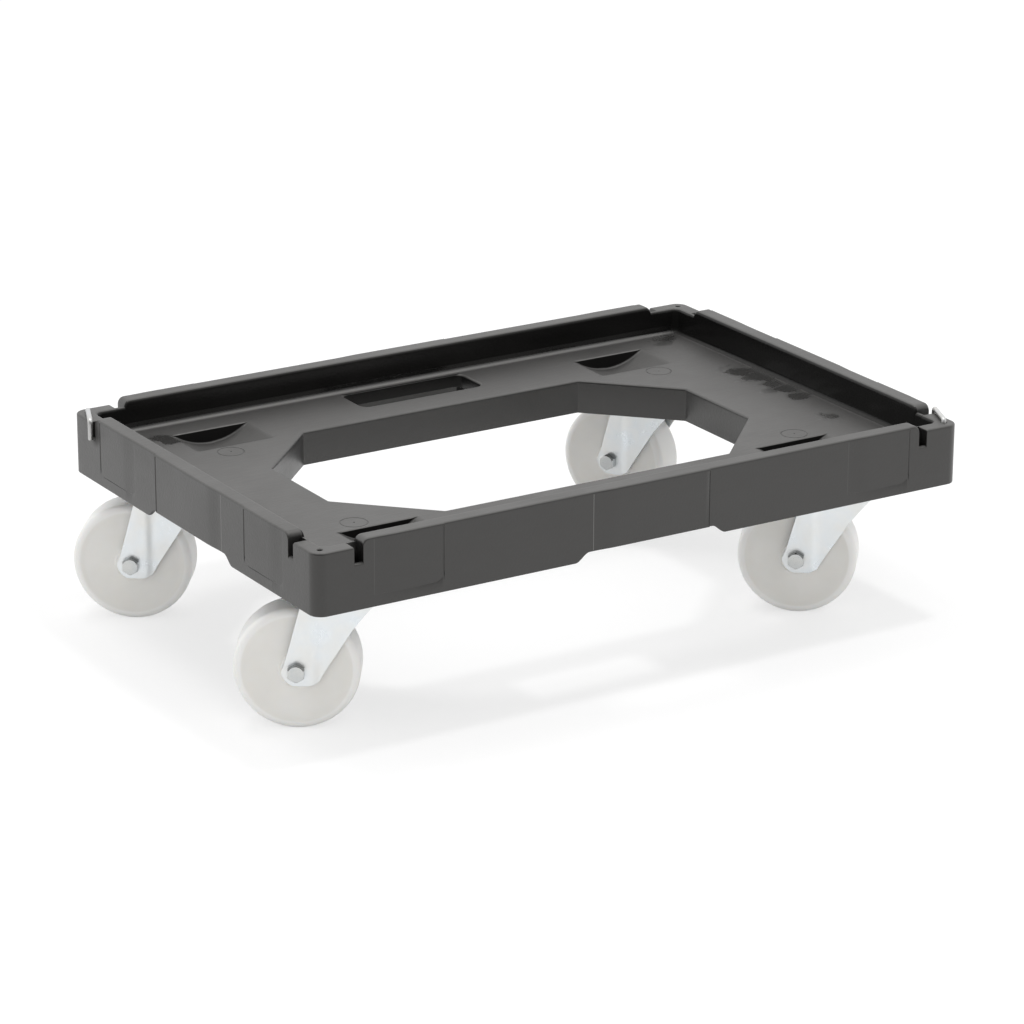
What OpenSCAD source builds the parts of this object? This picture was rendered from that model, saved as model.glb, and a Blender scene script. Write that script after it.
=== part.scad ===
// Crate dolly: a moulded frame on four swivel casters, with two wire coupling hooks.
// Millimetres. X runs along the long side, Y along the short side, Z up.
// The origin is the frame's centre on the floor.

/* [Frame] */
// Outside length of the frame between its plain skirt faces
frame_length = 610; // [560:1:680]
// Outside width of the frame between its plain skirt faces
frame_width = 410; // [380:1:460]
// Outside radius of the frame's corners
corner_radius = 10.5; // [9:0.5:14]
// Thickness of the outer skirt wall
skirt_wall = 3.2; // [2.5:0.1:4]
// Height of the outer skirt from its lower edge to the corner plateaus
skirt_height = 51.4; // [44:0.1:60]
// Distance from the casters' mounting face down to the skirt's lower edge
skirt_lap = 6; // [4:0.5:10]
// Width over the hollow rim
rim_width = 14.5; // [12:0.5:18]
// Height of the rim above the corner plateaus
rim_rise = 5.4; // [3:0.1:8]
// Thickness of the rim's inner wall
rim_inner_wall = 2.8; // [2:0.1:3.5]
// Thickness of the skin that closes the rim at the top
rim_skin = 3; // [2:0.1:4]
// Radius of the rim's rounded ends beside the coupling slots
rim_end_radius = 5; // [2:0.5:5]
// Radius of the tray's inner corners
tray_radius = 6; // [4:0.5:9]
// Depth of the tray floor below the corner plateaus
tray_depth = 22.1; // [16:0.1:28]
// Thickness of the tray floor
deck_thickness = 4; // [3:0.1:5]
// Distance from the frame's corner to the centre of each coupling slot
slot_inset = 38; // [34:0.5:44]
// Width of each coupling slot
slot_width = 8; // [7:0.1:10]
// Depth of each coupling slot below the corner plateaus
slot_depth = 13.7; // [10:0.1:18]
// Rise of the skirt's lower edge in the middle of each side
arch_rise = 7.3; // [4:0.1:9]
// Length of the raised stretch of the skirt's edge
arch_length = 120; // [80:1:150]
// Length of each sloping end of the raised stretch
arch_slope = 10; // [6:0.5:16]

/* [Skirt pads] */
// Length of the pad in the middle of each side
middle_pad_length = 110; // [80:1:120]
// Thickness of the middle pads
middle_pad_rise = 1; // [0.4:0.1:2]
// Length of the pad near each end of a side
end_pad_length = 62; // [40:1:66]
// Thickness of the end pads
end_pad_rise = 0.6; // [0.3:0.1:1.2]
// Distance from a coupling slot's edge to the nearest end pad on a long side
long_pad_gap = 9.5; // [6:0.5:16]
// Distance from a coupling slot's edge to the nearest end pad on a short side
short_pad_gap = 8.5; // [6:0.5:16]
// Height of the end pads' lower edge above the skirt's edge
end_pad_lift = 10; // [6:0.5:14]
// Radius of the end pads' lower corners
end_pad_radius = 8; // [4:0.5:12]

/* [Centre opening] */
// Distance from the frame's ends to the eight-sided centre opening
opening_inset_x = 101.7; // [96:0.1:120]
// Distance from the frame's front and back to the centre opening
opening_inset_y = 90.5; // [86:0.5:100]
// Length of each corner cut of the opening along X
opening_cut_x = 66.9; // [50:0.5:80]
// Length of each corner cut of the opening along Y
opening_cut_y = 67.8; // [50:0.5:80]
// Thickness of the wall around the opening
opening_wall = 3; // [2:0.1:4]

/* [Hand slots and pockets] */
// Length of the hand slots
hand_slot_length = 119; // [90:1:130]
// Width of the hand slots
hand_slot_width = 40; // [30:0.5:42]
// Distance from the tray's front and back walls to the hand slots
hand_slot_gap = 4; // [3:0.5:10]
// Radius of the hand slots' corners
hand_slot_radius = 7; // [4:0.5:12]
// Depth of the wall that lines each hand slot below the tray floor
hand_slot_lining = 12; // [8:0.5:16]
// Length of a stacking pocket where its curved floor meets the tray floor
pocket_length = 72; // [60:1:80]
// Width of a stacking pocket between its two upright walls
pocket_width = 47.6; // [40:0.2:52]
// Depth of a stacking pocket's curved floor in its middle
pocket_depth = 12.7; // [9:0.1:14]
// Thickness of a stacking pocket's wall and floor
pocket_wall = 2.4; // [2:0.1:3]
// Distance of a stacking pocket's middle from the swivel axis, towards the frame's centre
pocket_inset = 41; // [36:0.5:48]
// Length of the square drain hole in each stacking pocket
drain_size = 9; // [5:0.5:12]
// Distance of the drain hole from the pocket's middle, towards the frame's centre
drain_offset = 6.5; // [6.5:0.5:12]
// Radius of the ring mark near each inner screw
mark_radius = 11.5; // [6:0.5:12]
// Distance of the ring marks from the swivel axis along X
mark_inset_x = 28; // [26:0.5:32]
// Distance of the ring marks from the swivel axis along Y
mark_inset_y = 38; // [36:0.5:42]
// Width of the ring marks' grooves and radius of their centre dots
mark_line = 1; // [0.5:0.1:2]
// Depth of the ring marks' grooves
mark_depth = 0.5; // [0.3:0.1:1]

/* [Ribs] */
// Thickness of the ribs and linings under the tray floor
rib_thickness = 3; // [2:0.1:4]
// Depth of the ribs below the underside of the tray floor
rib_depth = 8; // [4:0.5:12]
// Distance of the long sides' ribs from the middle of the frame
long_rib_x = 78; // [70:1:110]
// Distance of the short sides' ribs from the middle of the frame
short_rib_y = 34; // [20:1:60]
// Outside radius of the screw bosses
boss_radius = 8; // [7:0.5:10]

/* [Caster places] */
// Distance of the swivel axes from the frame's ends
swivel_inset_x = 65; // [60:0.5:74]
// Distance of the swivel axes from the frame's front and back
swivel_inset_y = 65.5; // [63:0.5:73]
// Height of the casters' mounting face above the floor
caster_height = 126; // [124:0.5:140]
// Direction in which the front left wheel trails, in degrees from +X
yaw_front_left = 146.5; // [0:0.5:360]
// Direction in which the front right wheel trails
yaw_front_right = 139.5; // [0:0.5:360]
// Direction in which the back left wheel trails
yaw_back_left = 143; // [0:0.5:360]
// Direction in which the back right wheel trails
yaw_back_right = 118; // [0:0.5:360]

/* [Caster plate] */
// Length of a caster's top plate, along Y
plate_length = 105; // [100:1:110]
// Width of a caster's top plate, along X
plate_width = 85; // [80:1:90]
// Thickness of the top plate
plate_thickness = 3; // [2:0.1:4]
// Radius of the top plate's corners
plate_radius = 8; // [4:0.5:12]
// Screw spacing along Y
screw_pitch_y = 80; // [76:0.5:84]
// Screw spacing along X
screw_pitch_x = 60; // [58:0.5:64]
// Diameter of the plate screws
screw_diameter = 8; // [6:0.5:9]
// Length of the plate screws under the head
screw_length = 20; // [12:0.5:20]
// Size of the screws' and bolts' hexagons across flats
hex_size = 13; // [11:0.5:14]
// Height of the hexagon heads
head_height = 5.3; // [4:0.1:6]

/* [Swivel head] */
// Diameter of the bearing balls
ball_diameter = 6.4; // [5:0.1:7]
// Width of the cage that spaces the balls
cage_width = 3.2; // [2:0.1:4]
// Number of bearing balls
ball_count = 16; // [10:1:18]
// Radius of the circle on which the balls run
ball_circle = 27; // [25:0.5:28]
// Width of the two ball races
race_width = 8; // [7:0.1:9]
// Gap between the two ball races
race_gap = 3.6; // [3:0.1:5]
// Thickness of each ball race
race_thickness = 2.8; // [2.4:0.1:3.2]
// Thickness of the seal ring around the races
seal_thickness = 1.2; // [0.8:0.1:2]
// Diameter of the kingpin
kingpin_diameter = 12; // [10:0.5:14]
// Diameter of the kingpin's collar between plate and fork
kingpin_collar = 18; // [16:0.5:24]
// Diameter of the kingpin's lower head
kingpin_head = 24; // [18:0.5:28]
// Height of the kingpin's lower head
kingpin_head_height = 3.4; // [2:0.1:5]

/* [Fork] */
// Distance of the wheel's axle behind the swivel axis
trail = 39; // [34:0.5:42]
// Thickness of the pressed fork
fork_thickness = 2.5; // [2:0.1:3.5]
// Radius of the fork's crown
crown_radius = 34; // [32:0.5:36]
// Radius of a leg's end around the axle
leg_end_radius = 12; // [11:0.5:14]
// Radius of the second round of a leg's end, ahead of the axle
leg_toe_radius = 8; // [6:0.5:9]
// Distance of a leg's toe round ahead of the axle
leg_toe_run = 11; // [9:0.5:13]
// Distance of a leg's toe round below the axle
leg_toe_drop = 3.5; // [2:0.1:4]
// Distance ahead of the axle at which a leg's leading edge bends
leg_knee_run = 44.5; // [40:0.5:48]
// Height above the axle at which a leg's leading edge bends
leg_knee_rise = 35; // [30:0.5:42]
// Reach of a leg ahead of the axle where it meets the crown
leg_top_front = 68; // [62:0.5:70]
// Reach of a leg behind the axle where it meets the crown
leg_top_back = 6.2; // [4:0.1:10]
// Distance by which a leg is pressed inwards ahead of the axle
leg_joggle = 2; // [0.5:0.1:2]
// Length of the slope of the pressed bend
leg_bend_run = 4; // [2:0.5:8]
// Distance of the pressed bend ahead of the axle
leg_bend = 13.5; // [12:0.5:16]

/* [Wheel and axle] */
// Diameter of the wheels
wheel_diameter = 100; // [90:1:104]
// Width of the wheels
wheel_width = 34; // [28:0.5:35]
// Radius of the rounded edges of the tread
tread_round = 5.5; // [3:0.5:7]
// Length of the wheel's hub
hub_length = 39.8; // [38:0.2:46]
// Radius of the wheel's hub
hub_radius = 13; // [11:0.5:13.5]
// Width of the chamfer on the hub's ends
hub_chamfer = 1; // [0.5:0.1:2]
// Depth of the dish in the wheel's side faces
wheel_dish = 0.8; // [0.3:0.1:2]
// Outside diameter of the axle sleeve
sleeve_diameter = 12; // [11:0.1:14]
// Diameter of the axle bolt
bolt_diameter = 8; // [6:0.1:9]
// Height of the axle's lock nut
nut_height = 8; // [6:0.5:9]
// Length of the bolt's end that stands out of the nut
bolt_tip = 2; // [1:0.5:4]

/* [Coupling hooks] */
// Diameter of the hooks' wire
wire_diameter = 4.2; // [3.5:0.1:4.6]
// Distance of the hooks' pivot from the frame's two faces
pivot_inset = 9.5; // [9:0.5:11]
// Centre line radius of the hooks' bends
wire_bend = 3; // [2.8:0.1:4]
// Length of the free leg below the arm's centre line
hook_leg = 16.8; // [12:0.1:18]
// Height by which a hook can be lifted
hook_lift = 15.5; // [14:0.5:18]
// Depth of the guide post under each corner plateau
post_depth = 13.9; // [10:0.1:15]
// Outside radius of the guide posts
post_radius = 7; // [6.8:0.1:8]
// Outside radius of the retaining collar on each hook
collar_radius = 4; // [3.4:0.1:4.4]
// Height of the retaining collar
collar_height = 3; // [2:0.1:4]
// Radius of the upset end of the wire below the collar
upset_radius = 3; // [2.6:0.1:3.4]
// Height of the upset end
upset_height = 1.5; // [1:0.1:3]
// Width of the countersink at the mouth of each corner hole
mouth_chamfer = 0.65; // [0.3:0.05:0.8]

/* [Clearances] */
// Radial running clearance of pivots, sleeves and pins
fit_clearance = 0.06; // [0.02:0.01:0.1]
// Gap between pieces that pass one another
run_gap = 0.3; // [0.2:0.05:0.6]
// Radial clearance of screws in the plate's holes
screw_clearance = 0.4; // [0.1:0.05:0.8]

/* [Hidden] */

// Circle facets: the frame and the small hardware
fine = 96;
small = 48;
// Overlap of cutting shapes past the faces that they cut
past = 1;
// Chords in each rounded edge of the tread
tread_steps = 6;

// Name, side along X, side along Y and trailing direction of each caster
CASTERS = [
  ["fl", -1, -1, yaw_front_left],
  ["fr", 1, -1, yaw_front_right],
  ["bl", -1, 1, yaw_back_left],
  ["br", 1, 1, yaw_back_right]
];
// Name, half turn about Z of each hook: both are the same piece, half a turn apart
HOOKS = [["left", 0], ["right", 180]];
CORNERS = [[-1, -1], [1, -1], [1, 1], [-1, 1]];

half_length = frame_length / 2;
half_width = frame_width / 2;
skirt_z = caster_height - skirt_lap;
plateau_z = skirt_z + skirt_height;
rim_z = plateau_z + rim_rise;
deck_z = plateau_z - tray_depth;
deck_under = deck_z - deck_thickness;
tray_length = frame_length - 2 * rim_width;
tray_width = frame_width - 2 * rim_width;
channel_outer = skirt_wall;
channel_inner = rim_width - rim_inner_wall;
rim_end_inset = slot_inset + slot_width / 2;
slot_z = plateau_z - slot_depth;

hand_slot_y = half_width - rim_width - hand_slot_gap - hand_slot_width / 2;
pocket_radius = (pow(pocket_length / 2, 2) + pow(pocket_depth, 2)) / (2 * pocket_depth);
swivel_x = half_length - swivel_inset_x;
swivel_y = half_width - swivel_inset_y;
opening_length = frame_length - 2 * opening_inset_x;
opening_width = frame_width - 2 * opening_inset_y;
pocket_x = swivel_x - pocket_inset;

screw_radius = screw_diameter / 2;
bolt_radius = bolt_diameter / 2;
sleeve_radius = sleeve_diameter / 2;
kingpin_radius = kingpin_diameter / 2;
wire_radius = wire_diameter / 2;
wheel_radius = wheel_diameter / 2;
ball_radius = ball_diameter / 2;

// Heights of the swivel head, from the mounting face down
plate_under = caster_height - plate_thickness;
upper_race_z = plate_under - race_thickness;
ball_z = upper_race_z - race_gap / 2;
lower_race_z = upper_race_z - race_gap;
crown_top = lower_race_z - race_thickness;
crown_under = crown_top - fork_thickness;
race_inner = ball_circle - race_width / 2;
race_outer = ball_circle + race_width / 2;
kingpin_head_top = crown_under - run_gap;

// Fork legs, measured from the wheel's middle plane
leg_inner = hub_length / 2 + run_gap;
leg_outer = leg_inner + fork_thickness;
leg_rise = crown_top - wheel_radius;
leg_knee = [leg_knee_run, leg_knee_rise];
leg_toe = [leg_toe_run, -leg_toe_drop];
// Slope of the leading edge above the toe, in degrees from level
toe_angle = 58;

// Hooks: place of the pivot and of the leg, seen from the left back corner
pivot = [-(half_length - pivot_inset), half_width - pivot_inset];
leg_place = [-(half_length + run_gap + wire_radius), half_width - slot_inset];
arm_length = norm(leg_place - pivot);
arm_angle = atan2(leg_place[1] - pivot[1], leg_place[0] - pivot[0]);
arm_z = plateau_z + run_gap + wire_radius;
post_z = plateau_z - post_depth;
collar_top = post_z - hook_lift - run_gap;
collar_z = collar_top - collar_height;
upset_z = collar_z - run_gap - upset_height;

// A box with rounded upright edges, centred in plan
module rounded_block(length, width, radius, z0, z1) {
  translate([0, 0, z0]) {
    translate([-length / 2 + radius, -width / 2, 0])
      cube([length - 2 * radius, width, z1 - z0]);
    translate([-length / 2, -width / 2 + radius, 0])
      cube([length, width - 2 * radius, z1 - z0]);
    for (c = CORNERS)
      translate([c[0] * (length / 2 - radius), c[1] * (width / 2 - radius), 0])
        cylinder(r = radius, h = z1 - z0, $fn = fine);
  }
}

// A plain box from its low corner to its high corner
module box(low, high) {
  translate(low) cube(high - low);
}

// The centre opening's outline, grown outwards by d
function opening_outline(d) =
  let (h = norm([opening_cut_x, opening_cut_y]),
       nx = opening_cut_y / h,
       ny = opening_cut_x / h,
       l = opening_length / 2 + d,
       w = opening_width / 2 + d,
       cx = opening_cut_x + d * (nx + ny - 1) / nx,
       cy = opening_cut_y + d * (nx + ny - 1) / ny)
  [[l, w - cy], [l - cx, w], [cx - l, w], [-l, w - cy],
   [-l, cy - w], [cx - l, -w], [l - cx, -w], [l, cy - w]];

module opening_prism(d, z0, z1) {
  translate([0, 0, z0]) linear_extrude(z1 - z0) polygon(opening_outline(d));
}

// A stacking pocket, grown outwards by d: a trough whose floor is a cylinder, as a wheel's tread is
module pocket_trough(d, top) {
  w = pocket_width / 2 + d;
  intersection() {
    translate([0, w, deck_z - pocket_depth + pocket_radius]) rotate([90, 0, 0])
      cylinder(r = pocket_radius + d, h = 2 * w, $fn = fine);
    box([-pocket_length, -w, skirt_z], [pocket_length, w, top]);
  }
}

module at_pockets() {
  for (c = CORNERS)
    translate([c[0] * pocket_x, c[1] * swivel_y, 0]) children();
}

module at_drains() {
  for (c = CORNERS)
    translate([c[0] * (pocket_x - drain_offset), c[1] * swivel_y, 0]) children();
}

module at_screws() {
  for (c = CORNERS, s = CORNERS)
    translate([c[0] * swivel_x + s[0] * screw_pitch_x / 2,
               c[1] * swivel_y + s[1] * screw_pitch_y / 2, 0]) children();
}

// A raised pad on the face y = 0, facing -Y, with rounded lower corners
module skirt_pad(length, radius, rise, z0, z1) {
  translate([-length / 2, -rise, z0 + radius])
    cube([length, rise + skirt_wall / 2, z1 - z0 - radius]);
  if (radius > 0) {
    translate([radius - length / 2, -rise, z0])
      cube([length - 2 * radius, rise + skirt_wall / 2, 2 * radius]);
    for (s = [-1, 1])
      translate([s * (length / 2 - radius), -rise, z0 + radius])
        rotate([-90, 0, 0]) cylinder(r = radius, h = rise + skirt_wall / 2, $fn = small);
  }
}

// The three pads of one side, whose half length and pad gap are given
module side_pads(half_side, gap) {
  end_x = half_side - rim_end_inset - gap - end_pad_length / 2;
  skirt_pad(middle_pad_length, 0, middle_pad_rise, skirt_z + arch_rise, rim_z);
  for (s = [-1, 1])
    translate([s * end_x, 0, 0])
      skirt_pad(end_pad_length, end_pad_radius, end_pad_rise, skirt_z + end_pad_lift, rim_z);
}

// Places its children on each long side, or on each short side, facing outwards
module on_long_sides() {
  for (a = [0, 180]) rotate([0, 0, a]) translate([0, -half_width, 0]) children();
}

module on_short_sides() {
  for (a = [90, 270]) rotate([0, 0, a]) translate([0, -half_length, 0]) children();
}

// A ring between two insets from the frame's faces
module rim_ring(outer_inset, inner_inset, z0, z1) {
  difference() {
    rounded_block(frame_length - 2 * outer_inset, frame_width - 2 * outer_inset,
                  max(corner_radius - outer_inset, past / 2), z0, z1);
    rounded_block(frame_length - 2 * inner_inset, frame_width - 2 * inner_inset,
                  tray_radius + rim_width - inner_inset, z0 - past, z1 + past);
  }
}

// A bar along X over one side's rim, with rounded upper ends
module rim_bar(half_side, radius, z0, z1) {
  y0 = -past - middle_pad_rise;
  box([-half_side, y0, z0], [half_side, rim_width, z1 - radius]);
  box([radius - half_side, y0, z0], [half_side - radius, rim_width, z1]);
  if (radius > 0)
    for (s = [-1, 1])
      translate([s * (half_side - radius), y0, z1 - radius]) rotate([-90, 0, 0])
        cylinder(r = radius, h = rim_width - y0, $fn = small);
}

// Bars that hold the raised stretches of the rim, less a wall at each end
module rim_stretches(wall, radius, z0, z1) {
  on_long_sides() rim_bar(half_length - rim_end_inset - wall, radius, z0, z1);
  on_short_sides() rim_bar(half_width - rim_end_inset - wall, radius, z0, z1);
}

// The tool that raises the skirt's lower edge along one side
module arch_cut(width) {
  low = arch_length / 2 + arch_slope;
  high = arch_length / 2;
  translate([0, width, skirt_z]) rotate([90, 0, 0]) linear_extrude(2 * width)
    polygon([[-low - past * arch_slope / arch_rise, -past], [-high, arch_rise], [high, arch_rise],
             [low + past * arch_slope / arch_rise, -past]]);
}

// Skirt, rim and tray floor before the openings are cut
module frame_shell() {
  difference() {
    union() {
      rounded_block(frame_length, frame_width, corner_radius, skirt_z, plateau_z);
      intersection() {
        rounded_block(frame_length, frame_width, corner_radius, skirt_z, rim_z);
        rim_stretches(0, rim_end_radius, plateau_z - past, rim_z);
      }
      on_long_sides() side_pads(half_length, long_pad_gap);
      on_short_sides() side_pads(half_width, short_pad_gap);
    }
    rounded_block(tray_length, tray_width, tray_radius, deck_z, rim_z + past);
    rounded_block(frame_length - 2 * skirt_wall, frame_width - 2 * skirt_wall,
                  corner_radius - skirt_wall, skirt_z - past, deck_under);
    rim_ring(channel_outer, channel_inner, deck_under - past, plateau_z - rim_skin);
    intersection() {
      rim_ring(channel_outer, channel_inner, deck_under, rim_z - rim_skin);
      rim_stretches(rim_inner_wall, 0, deck_under, rim_z);
    }
  }
}

// Ribs, caster seats, screw bosses and linings under the tray floor
module frame_underside() {
  seat_x = plate_width / 2;
  seat_y = plate_length / 2;
  for (c = CORNERS)
    translate([c[0] * swivel_x, c[1] * swivel_y, 0]) {
      difference() {
        box([-seat_x, -seat_y, caster_height], [seat_x, seat_y, deck_z - past]);
        box([rib_thickness - seat_x, rib_thickness - seat_y, caster_height - past],
            [seat_x - rib_thickness, seat_y - rib_thickness, deck_under]);
      }
      box([-rib_thickness / 2, -seat_y, caster_height], [rib_thickness / 2, seat_y, deck_z - past]);
      box([-seat_x, -rib_thickness / 2, caster_height], [seat_x, rib_thickness / 2, deck_z - past]);
    }
  at_screws() translate([0, 0, caster_height])
    cylinder(r = boss_radius, h = deck_z - past - caster_height, $fn = small);
  for (s = [-1, 1]) {
    on_long_sides() translate([s * long_rib_x, 0, 0])
      box([-rib_thickness / 2, skirt_wall / 2, deck_under - rib_depth],
          [rib_thickness / 2, half_width - opening_width / 2 - opening_wall / 2, deck_z - past]);
    on_short_sides() translate([s * short_rib_y, 0, 0])
      box([-rib_thickness / 2, skirt_wall / 2, deck_under - rib_depth],
          [rib_thickness / 2, half_length - opening_length / 2 - opening_wall / 2, deck_z - past]);
  }
  difference() {
    opening_prism(opening_wall, skirt_z, deck_z - past);
    opening_prism(0, skirt_z - past, deck_z);
  }
  for (s = [-1, 1])
    translate([0, s * hand_slot_y, 0])
      rounded_block(hand_slot_length + 2 * rib_thickness, hand_slot_width + 2 * rib_thickness,
                    hand_slot_radius + rib_thickness, deck_z - hand_slot_lining, deck_z - past);
  at_pockets() pocket_trough(pocket_wall, deck_z - past);
}

// A coupling slot: down into the skirt and inwards over the rim's hollow
module slot_cut() {
  box([-slot_width / 2, -past - middle_pad_rise, slot_z],
      [slot_width / 2, channel_inner, rim_z + past]);
}

// The four guide posts under the corner plateaus
module corner_posts() {
  for (c = CORNERS)
    translate([c[0] * -pivot[0], c[1] * pivot[1], post_z])
      cylinder(r = post_radius, h = post_depth, $fn = small);
}

// A ring mark with a centre dot, cut into the tray floor
module ring_mark() {
  translate([0, 0, deck_z - mark_depth]) {
    difference() {
      cylinder(r = mark_radius, h = past, $fn = small);
      translate([0, 0, -past])
        cylinder(r = mark_radius - mark_line, h = 3 * past, $fn = small);
    }
    cylinder(r = mark_line, h = past, $fn = small);
  }
}

// The moulded frame: skirt, hollow rim, tray floor, ribs and caster seats
module frame() {
  bore = wire_radius + fit_clearance;
  color("dimgray") difference() {
    union() {
      frame_shell();
      intersection() {
        union() {
          frame_underside();
          corner_posts();
        }
        rounded_block(frame_length - skirt_wall, frame_width - skirt_wall,
                      corner_radius - skirt_wall / 2, skirt_z, plateau_z);
      }
    }
    opening_prism(0, skirt_z - past, rim_z);
    for (s = [-1, 1])
      translate([0, s * hand_slot_y, 0])
        rounded_block(hand_slot_length, hand_slot_width, hand_slot_radius, skirt_z, rim_z);
    at_pockets() pocket_trough(0, deck_z + past);
    at_drains()
      box([-drain_size / 2, -drain_size / 2, skirt_z], [drain_size / 2, drain_size / 2, deck_z]);
    at_screws() translate([0, 0, caster_height - past])
      cylinder(r = screw_radius + fit_clearance, h = screw_length - plate_thickness + 2 * past, $fn = small);
    for (s = [-1, 1]) {
      on_long_sides() translate([s * (half_length - slot_inset), 0, 0]) slot_cut();
      on_short_sides() translate([s * (half_width - slot_inset), 0, 0]) slot_cut();
    }
    on_long_sides() arch_cut(corner_radius);
    on_short_sides() arch_cut(corner_radius);
    for (c = CORNERS) {
      translate([c[0] * -pivot[0], c[1] * pivot[1], post_z - past])
        cylinder(r = bore, h = post_depth + 2 * past, $fn = small);
      translate([c[0] * -pivot[0], c[1] * pivot[1], plateau_z - mouth_chamfer])
        cylinder(r1 = bore, r2 = bore + mouth_chamfer + past, h = mouth_chamfer + past, $fn = small);
      translate([c[0] * (swivel_x - mark_inset_x), c[1] * (swivel_y - mark_inset_y), 0])
        ring_mark();
    }
  }
}

// A wire hook: pivot leg in the corner post, arm over the plateau, free leg outside the skirt
module hook() {
  run = arm_length - 2 * wire_bend;
  color("gainsboro") translate([pivot[0], pivot[1], 0]) rotate([0, 0, arm_angle]) {
    translate([0, 0, upset_z]) cylinder(r = upset_radius, h = upset_height, $fn = small);
    translate([0, 0, upset_z + upset_height / 2])
      cylinder(r = wire_radius, h = arm_z - wire_bend - upset_z - upset_height / 2, $fn = small);
    translate([wire_bend, 0, arm_z - wire_bend]) rotate([90, 0, 0]) rotate([0, 0, 90])
      rotate_extrude(angle = 90, $fn = small) translate([wire_bend, 0]) circle(r = wire_radius, $fn = small);
    translate([wire_bend, 0, arm_z]) rotate([0, 90, 0])
      cylinder(r = wire_radius, h = run, $fn = small);
    translate([arm_length - wire_bend, 0, arm_z - wire_bend]) rotate([90, 0, 0])
      rotate_extrude(angle = 90, $fn = small) translate([wire_bend, 0]) circle(r = wire_radius, $fn = small);
    translate([arm_length, 0, arm_z - hook_leg])
      cylinder(r = wire_radius, h = hook_leg - wire_bend, $fn = small);
  }
}

// The collar that keeps a hook from being lifted out
module hook_collar() {
  color("silver") translate([pivot[0], pivot[1], collar_z]) difference() {
    cylinder(r = collar_radius, h = collar_height, $fn = small);
    translate([0, 0, -past])
      cylinder(r = wire_radius + fit_clearance, h = collar_height + 2 * past, $fn = small);
  }
}

// Groove in which the balls run
module ball_groove() {
  translate([0, 0, ball_z]) rotate_extrude($fn = fine)
    translate([ball_circle, 0]) circle(r = ball_radius + fit_clearance, $fn = small);
}

// Top plate with its pressed upper race
module plate() {
  color("gainsboro") difference() {
    union() {
      rounded_block(plate_width, plate_length, plate_radius, plate_under, caster_height);
      translate([0, 0, upper_race_z]) cylinder(r = race_outer, h = race_thickness, $fn = fine);
    }
    translate([0, 0, upper_race_z - past])
      cylinder(r = race_inner, h = race_thickness + past, $fn = fine);
    ball_groove();
    translate([0, 0, plate_under - past])
      cylinder(r = kingpin_radius + fit_clearance, h = plate_thickness + 2 * past, $fn = small);
    for (s = CORNERS)
      translate([s[0] * screw_pitch_x / 2, s[1] * screw_pitch_y / 2, plate_under - past])
        cylinder(r = screw_radius + screw_clearance, h = plate_thickness + 2 * past, $fn = small);
  }
}

// The ring of balls and the cage that spaces them
module ball_cage() {
  cage_height = race_gap - 2 * run_gap;
  color("lightgray") {
    difference() {
      translate([0, 0, ball_z - cage_height / 2])
        cylinder(r = ball_circle + cage_width / 2, h = cage_height, $fn = fine);
      translate([0, 0, ball_z - race_gap])
        cylinder(r = ball_circle - cage_width / 2, h = 2 * race_gap, $fn = fine);
    }
    for (i = [0 : ball_count - 1])
      rotate([0, 0, i * 360 / ball_count]) translate([ball_circle, 0, ball_z])
        sphere(r = ball_radius, $fn = small);
  }
}

// The dust seal that closes the gap between the races
module seal() {
  color("dimgray") difference() {
    translate([0, 0, crown_top + run_gap])
      cylinder(r = race_outer + run_gap + seal_thickness, h = plate_under - crown_top - run_gap, $fn = fine);
    translate([0, 0, crown_top])
      cylinder(r = race_outer + run_gap, h = plate_under - crown_top + past, $fn = fine);
  }
}

// The pin that carries the fork: riveted into the plate, collared against it, headed below the crown
module kingpin() {
  color("silver") {
    translate([0, 0, kingpin_head_top - kingpin_head_height])
      cylinder(r1 = kingpin_head / 2 - kingpin_head_height / 2, r2 = kingpin_head / 2,
               h = kingpin_head_height, $fn = small);
    translate([0, 0, kingpin_head_top - past])
      cylinder(r = kingpin_radius, h = caster_height - kingpin_head_top + past, $fn = small);
    translate([0, 0, crown_top + run_gap])
      cylinder(r = kingpin_collar / 2, h = plate_under - crown_top - run_gap, $fn = small);
  }
}

// Side view of a leg: x runs ahead of the axle, y above it
module leg_outline() {
  toe = [leg_toe[0] + leg_toe_radius * sin(toe_angle), leg_toe[1] - leg_toe_radius * cos(toe_angle)];
  circle(r = leg_end_radius, $fn = fine);
  translate(leg_toe) circle(r = leg_toe_radius, $fn = fine);
  polygon([[0, -leg_end_radius], [leg_toe[0], leg_toe[1] - leg_toe_radius], toe, leg_knee,
           [leg_top_front, leg_rise], [leg_top_back, leg_rise], [-leg_end_radius, 0]]);
}

// Plan view of the two legs: x runs ahead of the axle, y across
module leg_plan() {
  start = -2 * leg_end_radius;
  bent = leg_bend + leg_bend_run;
  inner = [[start, leg_inner], [leg_bend, leg_inner],
           [bent, leg_inner - leg_joggle], [leg_top_front, leg_inner - leg_joggle]];
  outer = [[leg_top_front, leg_outer - leg_joggle], [bent, leg_outer - leg_joggle],
           [leg_bend, leg_outer], [start, leg_outer]];
  for (s = [-1, 1])
    polygon([for (p = concat(inner, outer)) [p[0], s * p[1]]]);
}

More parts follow.
